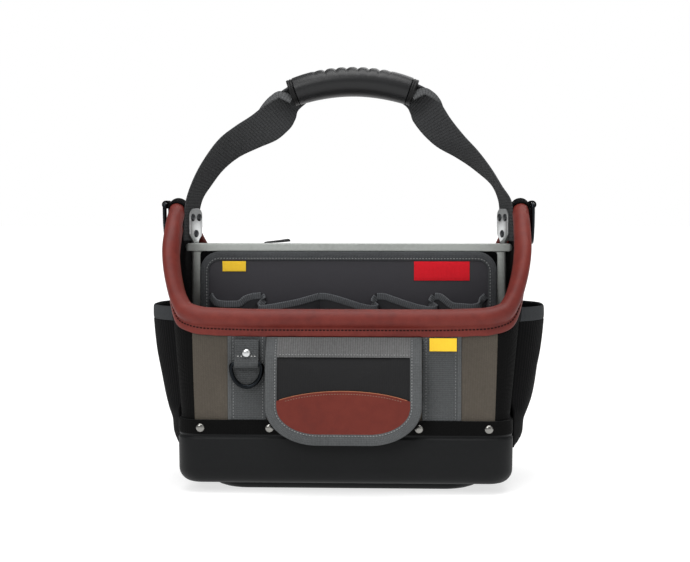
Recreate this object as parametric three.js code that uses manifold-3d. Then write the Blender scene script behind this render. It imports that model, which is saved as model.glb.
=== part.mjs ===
// An open top tool tote: a moulded tub, padded walls with a rolled leather rim, a metal frame that
// holds a bound divider board with five pockets, a carrying strap with a rubber grip, an outer flap
// pocket, two side pockets and three hanging D-rings. Millimetres, +Z up, front towards -Y.
import * as THREE from "three";
import { mergeVertices } from "three/addons/utils/BufferGeometryUtils.js";
import Module from "manifold-3d";

// Clearance between pieces that touch
const gap = 0.3;

// Base tub
const tubWidth = 327;
const tubDepth = 200;
const tubHeight = 71.6;
const tubWall = 2.7;
const tubFloor = 4;
const tubCorner = 25;
const tubEdge = 16;
const bandHeight = 16.5;
const bandStep = 0.9;
const footHeight = 9;
const footWidth = 264;
const footDepth = 140;
const footFlare = 11;
const tubInnerEdge = 10;

// Padded walls and their rolled rim
const wallThickness = 5;
const rimFlare = 10;
const rimFrontHeight = 170;
const rimBackHeight = 185;
const earHeight = 276.5;
const rimFrontCorner = 40;
const rimBackRun = 13.6;
const rollRadius = 9.5;
const earRollRadius = 8;
const leather = 1.8;
const flangeDrop = 17;
const slotSlack = 0.6;
const rimSeat = 1.1;
const wallFootRise = 11;
const seamPlace = 1.22;
const seamGap = 0.006;
const steepestSlant = 2;

// Ear caps and side rings
const capLength = 26;
const capThickness = 1.2;
const capSlack = 0.6;
const capStartAngle = -36;
const sideRingRise = 3;
const sideRingWidth = 36;
const sideRingDrop = 38;
const ringWire = 4.2;
const ringCorner = 3;
const ringSlack = 0.35;
const loopThickness = 1.7;
const sideLoopWidth = 20;

// Metal frame
const barClearance = 7.5;
const barHeight = 8;
const barDepth = 20;
const barTop = 240;
const barCorner = 3.5;
const legWidth = 11;
const legDepth = 16;
const legInset = 6;
const legCorner = 2;
const legSlack = 1.2;
const legFootRise = 4;
const legBendDrop = 66;

// Divider board
const boardInset = 15.5;
const boardThickness = 6;
const boardCorner = 20;
const boardFoot = 15;
const boardTape = 9.2;
const tapeThickness = 1.2;

// Pockets on the divider board
const pocketCloth = 1.4;
const pocketHem = 5.5;
const pocketHemThickness = 2.4;
const pocketDrop = 40.7;
const pocketLength = 149;
const pocketBulge = 13;
const pocketFullness = 0.75;
const pocketMargin = 2.3;
const outerPocketWidth = 51.4;

// Carrying strap, its brackets and its grip
const strapWidth = 38;
const strapThickness = 3.2;
const strapLean = 16;
const bracketWidth = 32;
const bracketHeight = 35;
const bracketThickness = 3;
const bracketCorner = 8;
const bracketInset = 11.7;
const bracketFoot = 12;
const bracketNeck = 4;
const boltDiameter = 9.6;
const boltHeight = 3.6;
const boltSpread = 18;
const boltTopInset = 9;
const boltLowInset = 25.5;
const gripLength = 118;
const gripHeight = 30;
const gripDepth = 34;
const gripTop = 419;
const gripRadius = 175;
const gripShift = 4;
const gripRidge = 1.4;
const gripRidges = 6;
const ridgedShare = 0.62;
const gripTaper = 0.94;
const collarLength = 7;
const collarThickness = 1.6;

// Grey webbing strips, ring loop and front ring
const stripWidth = 37.5;
const stripGap = 0.25;
const stripThickness = 1.5;
const webLoopWidth = 23.6;
const webLoopDrop = 1.8;
const frontRingWidth = 30;
const frontRingDrop = 22;
const webLoopLength = 23.7;
const rivetDiameter = 8.6;
const rivetHeight = 2.6;
const loopRivetDrop = 13.4;

// Outer flap pocket
const flapWidth = 149.6;
const flapLength = 102;
const flapDrop = 1.2;
const flapCorner = 34;
const flapThickness = 2.4;
const flapTape = 11.5;
const flapStand = 17.5;
const flapBand = 18.2;
const pouchWidth = 136;
const pouchDepth = 12;
const pouchDrop = 23.8;
const pouchCloth = 1.5;
const pouchCorner = 5;
const pouchEdge = 2;
const patchDrop = 57.8;
const patchCrown = 8;
const patchMargin = 3;

// Side pockets
const sidePocketDepth = 122;
const sidePocketRise = 9;
const sidePocketDrop = 30.6;
const sidePocketStand = 30;
const sidePocketHem = 14;
const sidePocketCloth = 1.6;
const sideHemThickness = 2.4;

// Tub rivets and labels
const rivetDrop = 7.6;
const outerRivetInset = 24.5;
const innerRivetInset = 2.8;
const labelThickness = 0.8;
const yellowLabelWidth = 23.8;
const yellowLabelHeight = 10.4;
const yellowLabelInset = 13.9;
const redLabelWidth = 56;
const redLabelHeight = 19.4;
const redLabelInset = 18.5;
const frontLabelWidth = 26;
const frontLabelHeight = 12.6;
const frontLabelShift = 1.2;

// Pull on the top bar
const pullLength = 27;
const pullHeight = 3;
const pullDepth = 8;
const pullPlace = -73;

// How finely the curved pieces are cut
const edgeSteps = 4;
const rollSteps = 7;
const capSteps = 9;
const sleeveSteps = 16;
const wireSteps = 6;
const bowSteps = 10;
const cornerSteps = 6;
const pocketSteps = 10;
const gripSteps = 30;
const gripRoundSteps = 14;
const collarSteps = 3;
const flapColumns = 4;
const patchSteps = 14;
const sidePocketSteps = 12;
const halvings = 40;

const half = 0.5;
const quarterTurn = 90;
const tubInnerHalfWidth = tubWidth * half - tubWall;
const tubInnerHalfDepth = tubDepth * half - tubWall;
const wallHalf = wallThickness * half;
const wallBaseHalfWidth = tubInnerHalfWidth - bandStep - gap - wallHalf;
const wallBaseHalfDepth = tubInnerHalfDepth - bandStep - gap - wallHalf;
const wallBaseCorner = tubCorner - tubWall - gap - wallHalf;
const wallFoot = footHeight + tubFloor + wallFootRise;
const rimHalfWidth = tubWidth * half + rimFlare;
const rimHalfDepth = wallBaseHalfDepth;
const rimBackCorner = rimHalfDepth - rimBackRun;
const wallFace = wallBaseHalfDepth + wallHalf;
const floorTop = footHeight + tubFloor;
const flangeBottom = rimFrontHeight - flangeDrop;
const barLength = 2 * (rimHalfWidth - barClearance);
const boardWidth = barLength - 2 * boardInset;
const boardTop = barTop - barHeight - gap;
const pocketTop = boardTop - pocketDrop;
const pocketBottom = pocketTop - pocketLength;
const innerPocketWidth = (boardWidth - 2 * (boardTape + pocketMargin + outerPocketWidth)) / 3;
const bracketPlace = barLength * half - bracketInset;
const flapTop = flangeBottom - flapDrop;
const stripPlace = flapWidth * half + stripGap + stripWidth * half;
const webLoopTop = flapTop - webLoopDrop;
const frontRingHeight = webLoopTop - webLoopLength;
const loopRivetHeight = webLoopTop - loopRivetDrop;
const pouchTop = flapTop - pouchDrop;
const sidePocketTop = rimFrontHeight + sidePocketRise;
const sidePocketBottom = tubHeight - sidePocketDrop;

// How far the rim has climbed from its low front or back run to the ear, by the place round the wall:
// 0 front middle, 1 to 2 front corner, 3 middle of the side, 4 to 5 back corner, 6 back middle
const rimRise = [
  { place: 0, rise: 0 },
  { place: 0.6, rise: 0 },
  { place: 1, rise: 0.014 },
  { place: 1.33, rise: 0.06 },
  { place: 1.5, rise: 0.17 },
  { place: 1.67, rise: 0.35 },
  { place: 2, rise: 0.67 },
  { place: 2.5, rise: 0.9 },
  { place: 3, rise: 1 },
  { place: 4, rise: 0.975 },
  { place: 4.17, rise: 0.88 },
  { place: 4.33, rise: 0.64 },
  { place: 4.5, rise: 0.34 },
  { place: 4.67, rise: 0.14 },
  { place: 4.83, rise: 0.045 },
  { place: 5, rise: 0.01 },
  { place: 5.4, rise: 0 },
  { place: 6, rise: 0 },
];

// Foot of the tub: how much of its flare is drawn in, and its height, as shares
const footRows = [
  { flare: 1, height: 0 },
  { flare: 0.4, height: 0.25 },
  { flare: 0, height: 0.9 },
];

// Inner edge of the tub's floor: the way in and the way up, as shares of the edge's radius
const innerEdgeRows = [
  { inward: 0, up: 1 },
  { inward: 0.3, up: 0.3 },
  { inward: 1, up: 0 },
];

// How far the flap stands off the wall, as a share of its full stand, by the share of its length
const flapProfile = [
  { along: 0, stand: 0 },
  { along: 0.07, stand: 0.3 },
  { along: 0.17, stand: 0.72 },
  { along: 0.34, stand: 0.95 },
  { along: 0.6, stand: 1.04 },
  { along: 1, stand: 0.98 },
];

// Top edge of each divider pocket: drops at its left end, middle and right end, shares of the bulge
const pocketRows = [
  { left: 0, middle: 0.6, right: 0.04, bulge: 0.85 },
  { left: 1.05, middle: 0.62, right: 0.1, bulge: 1 },
  { left: 0, middle: 0.6, right: 1, bulge: 1 },
  { left: 0, middle: 0.5, right: 1.05, bulge: 0.95 },
  { left: 0, middle: 0.75, right: 0.1, bulge: 0.85 },
];

// Section of a divider pocket below its hem: height share, and share of the belly
const pocketSection = [
  { height: 0, swell: 0.15 },
  { height: 0.35, swell: 0.62 },
  { height: 0.7, swell: 0.9 },
];

// Section of a side pocket up its height: how far its middle stands off the wall, as a share of the
// full stand, and whether its edges clear the tub (1) or lie on the wall (0), by the height share
const sidePocketRows = [
  { height: 0, middle: 0.24, overTub: 1 },
  { height: 0.02, middle: 0.42, overTub: 1 },
  { height: 0.08, middle: 0.57, overTub: 1 },
  { height: 0.17, middle: 0.62, overTub: 1 },
  { height: 0.24, middle: 0.74, overTub: 1 },
  { height: 0.34, middle: 0.85, overTub: 0 },
  { height: 0.5, middle: 0.93, overTub: 0 },
  { height: 0.7, middle: 1, overTub: 0 },
  { height: 0.9, middle: 1.02, overTub: 0 },
  { height: 1, middle: 0.99, overTub: 0 },
];

// Strap stations from the bracket to the grip: shares of the way in from the bracket and of the way
// up, the lean of the webbing from front-to-back towards face-on, and its width and thickness shares
const leftStrapRows = [
  { inward: 0, up: 0, lean: 16, width: 1, thick: 1 },
  { inward: 0, up: 0.25, lean: 16, width: 1, thick: 1 },
  { inward: 0.01, up: 0.3, lean: 18, width: 1, thick: 1 },
  { inward: 0.11, up: 0.42, lean: 24, width: 1, thick: 1 },
  { inward: 0.23, up: 0.54, lean: 29, width: 1, thick: 1 },
  { inward: 0.38, up: 0.636, lean: 37, width: 1, thick: 1 },
  { inward: 0.575, up: 0.715, lean: 48, width: 1, thick: 1 },
  { inward: 0.76, up: 0.784, lean: 57, width: 1, thick: 1 },
  { inward: 0.88, up: 0.85, lean: 58, width: 0.95, thick: 1.3 },
  { inward: 0.95, up: 0.92, lean: 54, width: 0.85, thick: 2 },
  { inward: 1, up: 1, lean: 48, width: 0.7, thick: 3 },
];
const rightStrapRows = [
  { inward: 0, up: 0, lean: 16, width: 1, thick: 1 },
  { inward: 0, up: 0.25, lean: 16, width: 1, thick: 1 },
  { inward: -0.01, up: 0.3, lean: 13, width: 1, thick: 1 },
  { inward: 0.074, up: 0.377, lean: 10, width: 1, thick: 1 },
  { inward: 0.231, up: 0.488, lean: 14, width: 1, thick: 1 },
  { inward: 0.432, up: 0.6, lean: 28, width: 1, thick: 1 },
  { inward: 0.625, up: 0.686, lean: 41, width: 1, thick: 1 },
  { inward: 0.79, up: 0.79, lean: 49, width: 1, thick: 1 },
  { inward: 0.89, up: 0.87, lean: 50, width: 0.95, thick: 1.3 },
  { inward: 0.935, up: 0.925, lean: 42, width: 0.82, thick: 1.8 },
  { inward: 1, up: 1, lean: 48, width: 0.7, thick: 3 },
];

const wasm = await Module();
wasm.setup();

const tote = new THREE.Group();

const spot = (x, y, z) => new THREE.Vector3(x, y, z);
const radians = THREE.MathUtils.degToRad;
const mix = THREE.MathUtils.lerp;
const upwards = spot(0, 0, 1);
const frontToBack = spot(0, 1, 0);

// Evenly spread values from first to last.
function spread(first, last, steps) {
  return Array.from({ length: steps + 1 }, (_, i) => mix(first, last, i / steps));
}

// A smooth curve through a table's rows that never swings past a row: cubic pieces whose slopes are
// the harmonic mean of the slopes on either side.
function through(rows, key, value, at) {
  const last = rows.length - 1;
  const place = THREE.MathUtils.clamp(at, rows[0][key], rows[last][key]);
  let i = 0;
  while (i < last - 1 && place > rows[i + 1][key]) i++;
  const slope = (n) => (rows[n + 1][value] - rows[n][value]) / (rows[n + 1][key] - rows[n][key]);
  const tangent = (n) => {
    if (n === 0) return slope(0);
    if (n === last) return slope(last - 1);
    const before = slope(n - 1);
    const after = slope(n);
    return before * after > 0 ? (2 * before * after) / (before + after) : 0;
  };
  const width = rows[i + 1][key] - rows[i][key];
  const t = (place - rows[i][key]) / width;
  const rest = 1 - t;
  return (
    rows[i][value] * (1 + 2 * t) * rest * rest +
    tangent(i) * width * t * rest * rest +
    rows[i + 1][value] * t * t * (3 - 2 * t) -
    tangent(i + 1) * width * t * t * rest
  );
}

// A geometry from points and triangles, turned so that its faces point outwards.
function bodyOf(points, faces) {
  let volume = 0;
  for (let i = 0; i < faces.length; i += 3) {
    const [a, b, c] = [points[faces[i]], points[faces[i + 1]], points[faces[i + 2]]];
    volume += a.dot(spot(0, 0, 0).crossVectors(b, c));
  }
  const index = volume < 0 ? faces.slice().reverse() : faces;
  const geometry = new THREE.BufferGeometry().setFromPoints(points);
  geometry.setIndex(index);
  return geometry;
}

// A closed body through rings of one even length. Open ends are capped by strips that run across
// the ring, which suits convex rings and bent strips alike.
function loft(rings, joined = false) {
  const count = rings[0].length;
  const points = rings.flat();
  const faces = [];
  const steps = joined ? rings.length : rings.length - 1;
  for (let i = 0; i < steps; i++) {
    const a = i * count;
    const b = ((i + 1) % rings.length) * count;
    for (let j = 0; j < count; j++) {
      const k = (j + 1) % count;
      faces.push(a + j, a + k, b + k, a + j, b + k, b + j);
    }
  }
  if (!joined) {
    const end = (rings.length - 1) * count;
    for (let i = 0; i < count / 2 - 1; i++) {
      const [p, q, r, s] = [i, i + 1, count - 2 - i, count - 1 - i];
      faces.push(p, r, q);
      faces.push(end + p, end + q, end + r);
      faces.push(p, s, r);
      faces.push(end + p, end + r, end + s);
    }
  }
  return bodyOf(points, faces);
}

// One sheet of cloth: each row holds its outer points and its inner points, in the same order.
function sheet(rows, joined = false) {
  return loft(
    rows.map((row) => [...row.outer, ...row.inner.slice().reverse()]),
    joined,
  );
}

// A rounded rectangle in a level plane.
function roundedRing(halfX, halfY, corner, z, centre = spot(0, 0, 0), steps = cornerSteps) {
  const ring = [];
  const corners = [
    { x: 1, y: 1, from: 0 },
    { x: -1, y: 1, from: 90 },
    { x: -1, y: -1, from: 180 },
    { x: 1, y: -1, from: 270 },
  ];
  for (const { x, y, from } of corners) {
    for (const turn of spread(from, from + quarterTurn, steps)) {
      ring.push(
        spot(
          centre.x + x * (halfX - corner) + corner * Math.cos(radians(turn)),
          centre.y + y * (halfY - corner) + corner * Math.sin(radians(turn)),
          z,
        ),
      );
    }
  }
  return ring;
}

function solidOf(geometry) {
  const bare = new THREE.BufferGeometry();
  bare.setAttribute("position", geometry.getAttribute("position"));
  bare.setIndex(geometry.getIndex());
  const merged = mergeVertices(bare, 1e-4);
  return new wasm.Manifold(
    new wasm.Mesh({
      numProp: 3,
      vertProperties: new Float32Array(merged.getAttribute("position").array),
      triVerts: new Uint32Array(merged.getIndex().array),
    }),
  );
}

function geometryOf(solid) {
  const mesh = solid.getMesh();
  const geometry = new THREE.BufferGeometry();
  geometry.setAttribute("position", new THREE.BufferAttribute(mesh.vertProperties, 3));
  geometry.setIndex(new THREE.BufferAttribute(mesh.triVerts, 1));
  return geometry;
}

function look(color, roughness, metalness = 0) {
  return { color, roughness, metalness };
}

const looks = {
  moulded: look(0x262628, 0.55),
  blackCloth: look(0x161617, 0.9),
  canvas: look(0x625a4e, 0.95),
  leather: look(0x8e4a41, 0.55),
  greyWeb: look(0x575b5e, 0.85),
  strapWeb: look(0x3c3d3c, 0.85),
  tape: look(0x6a6d6f, 0.85),
  board: look(0x3e3c40, 0.8),
  aluminium: look(0xa9aca9, 0.4, 0.9),
  chrome: look(0xc9cbcc, 0.25, 1),
  darkNickel: look(0x2c2e30, 0.35, 1),
  rubber: look(0x333437, 0.7),
  yellow: look(0xf9c024, 0.7),
  red: look(0xe3202b, 0.7),
};

function place(parent, name, geometry, finish) {
  const piece = new THREE.Mesh(geometry, new THREE.MeshStandardMaterial(finish));
  piece.name = name;
  parent.add(piece);
  return piece;
}

const sides = [
  { name: "left", sign: -1 },
  { name: "right", sign: 1 },
];

// A point of a rounded plan, and its outward normal, by the place round it (see rimRise).
function planAt(at, halfX, halfY, frontCorner, backCorner) {
  const front = halfY - frontCorner;
  const back = halfY - backCorner;
  if (at <= 1) return { x: at * (halfX - frontCorner), y: -halfY, out: spot(0, -1, 0) };
  if (at <= 2) {
    const turn = radians((at - 1) * quarterTurn);
    const out = spot(Math.sin(turn), -Math.cos(turn), 0);
    return { x: halfX - frontCorner + frontCorner * out.x, y: -front + frontCorner * out.y, out };
  }
  if (at <= 3) return { x: halfX, y: -front * (3 - at), out: spot(1, 0, 0) };
  if (at <= 4) return { x: halfX, y: back * (at - 3), out: spot(1, 0, 0) };
  if (at <= 5) {
    const turn = radians((at - 4) * quarterTurn);
    const out = spot(Math.cos(turn), Math.sin(turn), 0);
    return { x: halfX - backCorner + backCorner * out.x, y: back + backCorner * out.y, out };
  }
  return { x: (6 - at) * (halfX - backCorner), y: halfY, out: spot(0, 1, 0) };
}

const rimHeight = (at) =>
  mix(at <= 3 ? rimFrontHeight : rimBackHeight, earHeight, through(rimRise, "place", "rise", at));

// A point of the wall: upright inside the tub, then straight up to the rim. Offset outwards.
function wallAt(at, z, out, sign = 1) {
  const base = planAt(at, wallBaseHalfWidth, wallBaseHalfDepth, wallBaseCorner, wallBaseCorner);
  const rim = planAt(at, rimHalfWidth, rimHalfDepth, rimFrontCorner, rimBackCorner);
  const share = Math.max(0, (z - tubHeight) / (rimHeight(at) - tubHeight));
  const normal = base.out.clone().lerp(rim.out, Math.min(1, share)).normalize();
  const x = mix(base.x, rim.x, share) + normal.x * out;
  return spot(sign * x, mix(base.y, rim.y, share) + normal.y * out, z);
}

// How much a section that lies along the wall's rise is drawn out where the rim runs slantwise.
function slant(at) {
  const step = 0.04;
  const before = wallAt(Math.max(0, at - step), rimHeight(Math.max(0, at - step)), 0);
  const after = wallAt(Math.min(6, at + step), rimHeight(Math.min(6, at + step)), 0);
  const along = after.sub(before).normalize();
  const rise = rimDirection(at);
  return Math.min(steepestSlant, 1 / spot(0, 0, 0).crossVectors(along, rise).length());
}

function rimDirection(at) {
  return wallAt(at, rimHeight(at), 0).sub(wallAt(at, tubHeight, 0)).normalize();
}

const rollRadiusAt = (at) =>
  mix(rollRadius, earRollRadius, through(rimRise, "place", "rise", at));

// A point beside the rim's middle line: up the wall and out of it.
function rimPoint(at, up, out, sign) {
  return wallAt(at, rimHeight(at) + rimDirection(at).z * up * slant(at), out, sign);
}

// Places round the right half of the wall, closer together round the corners
const wallPlaces = [
  ...spread(0, 0.9, 3),
  ...spread(1, 2, 10),
  ...spread(2.25, 3.75, 6),
  ...spread(4, 5, 10),
  ...spread(5.1, 6, 3),
];

const legOut = wallHalf + slotSlack + leather;
const slotTop = (at) => Math.sqrt(rollRadiusAt(at) ** 2 - legOut ** 2) - gap;

// The wall between two places, from the tub's floor to the slot of the rim.
function wallPiece(from, to, signOf) {
  const rows = [];
  const places = wallPlaces.filter((at) => at > from && at < to);
  for (const { at, sign } of signOf([from, ...places, to])) {
    const top = rimPoint(at, -slotTop(at) - rimSeat, 0, sign).z;
    const heights = [wallFoot, tubHeight, mix(tubHeight, top, half), top];
    rows.push({
      outer: heights.map((z) => wallAt(at, z, wallHalf, sign)),
      inner: heights.map((z) => wallAt(at, z, -wallHalf, sign)),
    });
  }
  return sheet(rows);
}

function addWalls() {
  const across = (places) => [
    ...places.slice(1).reverse().map((at) => ({ at, sign: -1 })),
    ...places.map((at) => ({ at, sign: 1 })),
  ];
  const acrossBack = (places) => [
    ...places.map((at) => ({ at, sign: 1 })),
    ...places.slice(0, -1).reverse().map((at) => ({ at, sign: -1 })),
  ];
  const backSeam = 6 - seamPlace;
  place(tote, "front_wall", wallPiece(0, seamPlace - seamGap, across), looks.canvas);
  place(tote, "back_wall", wallPiece(backSeam + seamGap, 6, acrossBack), looks.blackCloth);
  for (const { name, sign } of sides) {
    const oneSide = (places) => places.map((at) => ({ at, sign }));
    const wall = wallPiece(seamPlace + seamGap, backSeam - seamGap, oneSide);
    place(tote, "side_wall_" + name, wall, looks.blackCloth);
  }
}

// Leather rolled round a foam cord, with two flanges that straddle the wall: the section is a circle
// with a slot below it, carried once round the rim.
function addRim() {
  const inside = wallHalf + slotSlack;
  const section = (at, sign) => {
    const radius = rollRadiusAt(at);
    const start = -Math.acos(legOut / radius);
    const arc = spread(start, Math.PI - start, rollSteps).map((turn) =>
      rimPoint(at, radius * Math.sin(turn), radius * Math.cos(turn), sign),
    );
    const slot = slotTop(at);
    return [
      ...arc,
      rimPoint(at, -flangeDrop, -legOut, sign),
      rimPoint(at, -flangeDrop, -inside, sign),
      rimPoint(at, -slot, -inside, sign),
      rimPoint(at, -slot, inside, sign),
      rimPoint(at, -flangeDrop, inside, sign),
      rimPoint(at, -flangeDrop, legOut, sign),
    ];
  };
  const right = wallPlaces.map((at) => section(at, 1));
  const left = wallPlaces.slice(1, -1).reverse().map((at) => section(at, -1));
  place(tote, "rim_roll", loft([...right, ...left], true), looks.leather);
}

// Tub: one moulding whose outside and inside are rounded rectangles, with a foot below it.
function addTub() {
  const width = tubWidth * half;
  const depth = tubDepth * half;
  const bandFoot = tubHeight - bandHeight;
  const ring = (inset, z) => roundedRing(width - inset, depth - inset, tubCorner - inset, z);
  const foot = (inset, z) =>
    roundedRing(footWidth * half - inset, footDepth * half - inset * half, tubCorner, z);
  const edge = spread(0, quarterTurn, edgeSteps).map((turn) =>
    ring(tubEdge * (1 - Math.sin(radians(turn))), footHeight + tubEdge * (1 - Math.cos(radians(turn)))),
  );
  const innerInset = tubWall + bandStep;
  const rings = [
    ...footRows.map(({ flare, height }) => foot(footFlare * flare, footHeight * height)),
    ...edge,
    ring(bandStep * half, bandFoot - bandStep),
    ring(bandStep + bandStep * half, bandFoot + bandStep),
    ring(bandStep, tubHeight),
    ring(innerInset, tubHeight),
    ...innerEdgeRows.map(({ inward, up }) =>
      ring(innerInset + tubInnerEdge * inward, floorTop + tubInnerEdge * up),
    ),
  ];
  place(tote, "base_tub", loft(rings), looks.moulded);
}

// A shallow dome on a flat face, axis along +Z.
function domeGeometry(diameter, height, sidesRound = 8) {
  const radius = diameter * half;
  const rim = height * 0.2;
  const profile = [new THREE.Vector2(0, 0), new THREE.Vector2(radius, 0)];
  for (const turn of spread(0, 60, 2)) {
    const reach = Math.cos(radians(turn));
    profile.push(new THREE.Vector2(radius * reach, rim + (height - rim) * Math.sin(radians(turn))));
  }
  profile.push(new THREE.Vector2(0, height));
  const dome = new THREE.LatheGeometry(profile, sidesRound);
  dome.rotateX(radians(quarterTurn));
  return dome;
}

function addTubRivets() {
  const outer = tubWidth * half - outerRivetInset;
  const inner = flapWidth * half - innerRivetInset;
  const places = [-outer, -inner, inner, outer];
  const tubFace = tubDepth * half - bandStep;
  const rivetHeightAt = tubHeight - rivetDrop;
  places.forEach((x, i) => {
    const dome = domeGeometry(rivetDiameter, rivetHeight);
    const front = place(tote, "front_rivet_" + (i + 1), dome, looks.chrome);
    front.rotation.x = radians(quarterTurn);
    front.position.set(x, -tubFace - gap, rivetHeightAt);
    const back = place(tote, "back_rivet_" + (i + 1), dome.clone(), looks.chrome);
    back.rotation.x = radians(-quarterTurn);
    back.position.set(x, tubFace + gap, rivetHeightAt);
  });
}

// A D-ring of round wire: a straight bar, two tight corners and half an oval. It hangs from the bar,
// which lies along X with its middle at the origin.
function ringGeometry(width, drop) {
  const reach = width * half;
  const path = [];
  path.push([-reach + ringCorner, 0], [0, 0], [reach - ringCorner, 0]);
  for (const turn of spread(30, 90, 2)) {
    const a = radians(turn);
    path.push([reach - ringCorner + ringCorner * Math.sin(a), -ringCorner + ringCorner * Math.cos(a)]);
  }
  for (const turn of spread(0, 180, bowSteps).slice(1)) {
    const a = radians(turn);
    path.push([reach * Math.cos(a), -ringCorner - (drop - ringCorner) * Math.sin(a)]);
  }
  for (const turn of [60, 30]) {
    const a = radians(turn);
    path.push([-reach + ringCorner - ringCorner * Math.sin(a), -ringCorner + ringCorner * Math.cos(a)]);
  }
  const rings = path.map(([x, z], i) => {
    const [bx, bz] = path[(i + path.length - 1) % path.length];
    const [ax, az] = path[(i + 1) % path.length];
    const outward = spot(az - bz, 0, bx - ax).normalize();
    return spread(0, 360, wireSteps)
      .slice(0, -1)
      .map((turn) =>
        spot(x, 0, z)
          .addScaledVector(outward, ringWire * half * Math.cos(radians(turn)))
          .addScaledVector(frontToBack, ringWire * half * Math.sin(radians(turn))),
      );
  });
  return loft(rings, true);
}

// A round bar along X, used for a loop's sleeve and for the bore that is cut from it.
function sleeve(length, radius) {
  const tube = new THREE.CylinderGeometry(radius, radius, length, sleeveSteps);
  tube.rotateZ(radians(quarterTurn));
  return tube;
}

const boreRadius = ringWire * half + ringSlack;
const sleeveRadius = boreRadius + loopThickness;
const sideRingPlace = rimHalfWidth + earRollRadius + capSlack + capThickness + boreRadius;
const sideRingHeight = earHeight + sideRingRise;

// Black webbing over the top of each ear, with a loop on its outside that carries a ring.
function addEars() {
  for (const { name, sign } of sides) {
    const reach = capLength * half;
    const frontSide = rimHalfDepth - rimFrontCorner;
    const places = [3 - reach / frontSide, 3 - (reach * half) / frontSide, 3];
    const backSide = rimHalfDepth - rimBackCorner;
    places.push(3 + (reach * half) / backSide, 3 + reach / backSide);
    const rows = places.map((at) => {
      const inner = rollRadiusAt(at) + capSlack;
      const arc = (radius) =>
        spread(capStartAngle, 180 - capStartAngle, capSteps).map((turn) =>
          rimPoint(at, radius * Math.sin(radians(turn)), radius * Math.cos(radians(turn)), sign),
        );
      return { outer: arc(inner + capThickness), inner: arc(inner) };
    });
    const tube = sleeve(sideLoopWidth, sleeveRadius);
    const bore = sleeve(sideLoopWidth * 2, boreRadius);
    for (const round of [tube, bore]) {
      round.rotateZ(radians(quarterTurn));
      round.translate(sign * sideRingPlace, 0, sideRingHeight);
    }
    const cap = solidOf(sheet(rows)).add(solidOf(tube)).subtract(solidOf(bore));
    place(tote, "ear_cap_" + name, geometryOf(cap), looks.blackCloth);
    const ring = ringGeometry(sideRingWidth, sideRingDrop);
    const hung = place(tote, "side_ring_" + name, ring, looks.darkNickel);
    hung.rotation.z = radians(quarterTurn);
    hung.position.set(sign * sideRingPlace, 0, sideRingHeight);
  }
}

// The metal frame: a rounded top bar on two legs that lean in towards the tub.
function addFrame() {
  const halfBar = barLength * half;
  const shape = new THREE.Shape();
  const low = barTop - barHeight;
  shape.moveTo(-halfBar + barCorner, low);
  shape.lineTo(halfBar - barCorner, low);
  shape.absarc(halfBar - barCorner, low + barCorner, barCorner, -Math.PI / 2, 0);
  shape.absarc(halfBar - barCorner, barTop - barCorner, barCorner, 0, Math.PI / 2);
  shape.absarc(-halfBar + barCorner, barTop - barCorner, barCorner, Math.PI / 2, Math.PI);
  shape.absarc(-halfBar + barCorner, low + barCorner, barCorner, Math.PI, Math.PI * 1.5);
  const bar = new THREE.ExtrudeGeometry(shape, {
    depth: barDepth,
    bevelEnabled: false,
    curveSegments: 3,
  });
  const topBar = place(tote, "frame_top_bar", bar, looks.aluminium);
  topBar.rotation.x = radians(quarterTurn);
  topBar.position.y = barDepth * half;
  const legTop = halfBar - legInset - legWidth * half;
  const legLow = wallBaseHalfWidth - wallHalf - legWidth * half - legSlack;
  const heights = [
    { z: floorTop + legFootRise, x: legLow },
    { z: tubHeight, x: legLow },
    { z: low - legBendDrop, x: legTop },
    { z: low - gap, x: legTop },
  ];
  for (const { name, sign } of sides) {
    const rings = heights.map(({ z, x }) =>
      roundedRing(legWidth * half, legDepth * half, legCorner, z, spot(sign * x, 0, 0), 2),
    );
    place(tote, "frame_leg_" + name, loft(rings), looks.aluminium);
  }
}

const boardBack = -legDepth * half - gap;
const boardFront = boardBack - boardThickness;

// The outline of the divider board, from its lower left up, over the top and down to its lower right.
function boardOutline(inset) {
  const reach = boardWidth * half - inset;
  const corner = boardCorner - inset;
  const top = boardTop - inset;
  const outline = [[-reach, boardFoot]];
  for (const turn of spread(180, 90, cornerSteps)) {
    outline.push([
      -reach + corner + corner * Math.cos(radians(turn)),
      top - corner + corner * Math.sin(radians(turn)),
    ]);
  }
  for (const turn of spread(90, 0, cornerSteps)) {
    outline.push([
      reach - corner + corner * Math.cos(radians(turn)),
      top - corner + corner * Math.sin(radians(turn)),
    ]);
  }
  outline.push([reach, boardFoot]);
  return outline;
}

function addDivider() {
  const core = boardOutline(tapeThickness + gap);
  const board = new THREE.Shape(core.map(([x, z]) => new THREE.Vector2(x, z)));
  const slab = new THREE.ExtrudeGeometry(board, { depth: boardThickness, bevelEnabled: false });
  const piece = place(tote, "divider_board", slab, looks.board);
  piece.rotation.x = radians(quarterTurn);
  piece.position.y = boardBack;
  const edge = boardOutline(0);
  const inner = boardOutline(boardTape);
  const lining = boardOutline(tapeThickness);
  const front = boardFront - gap;
  const frontOut = front - tapeThickness;
  const rings = edge.map(([x, z], i) => {
    const [ix, iz] = inner[i];
    const [lx, lz] = lining[i];
    return [
      spot(ix, frontOut, iz),
      spot(x, frontOut, z),
      spot(x, boardBack, z),
      spot(lx, boardBack, lz),
      spot(lx, front, lz),
      spot(ix, front, iz),
    ];
  });
  place(tote, "divider_binding", loft(rings), looks.tape);
}

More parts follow.
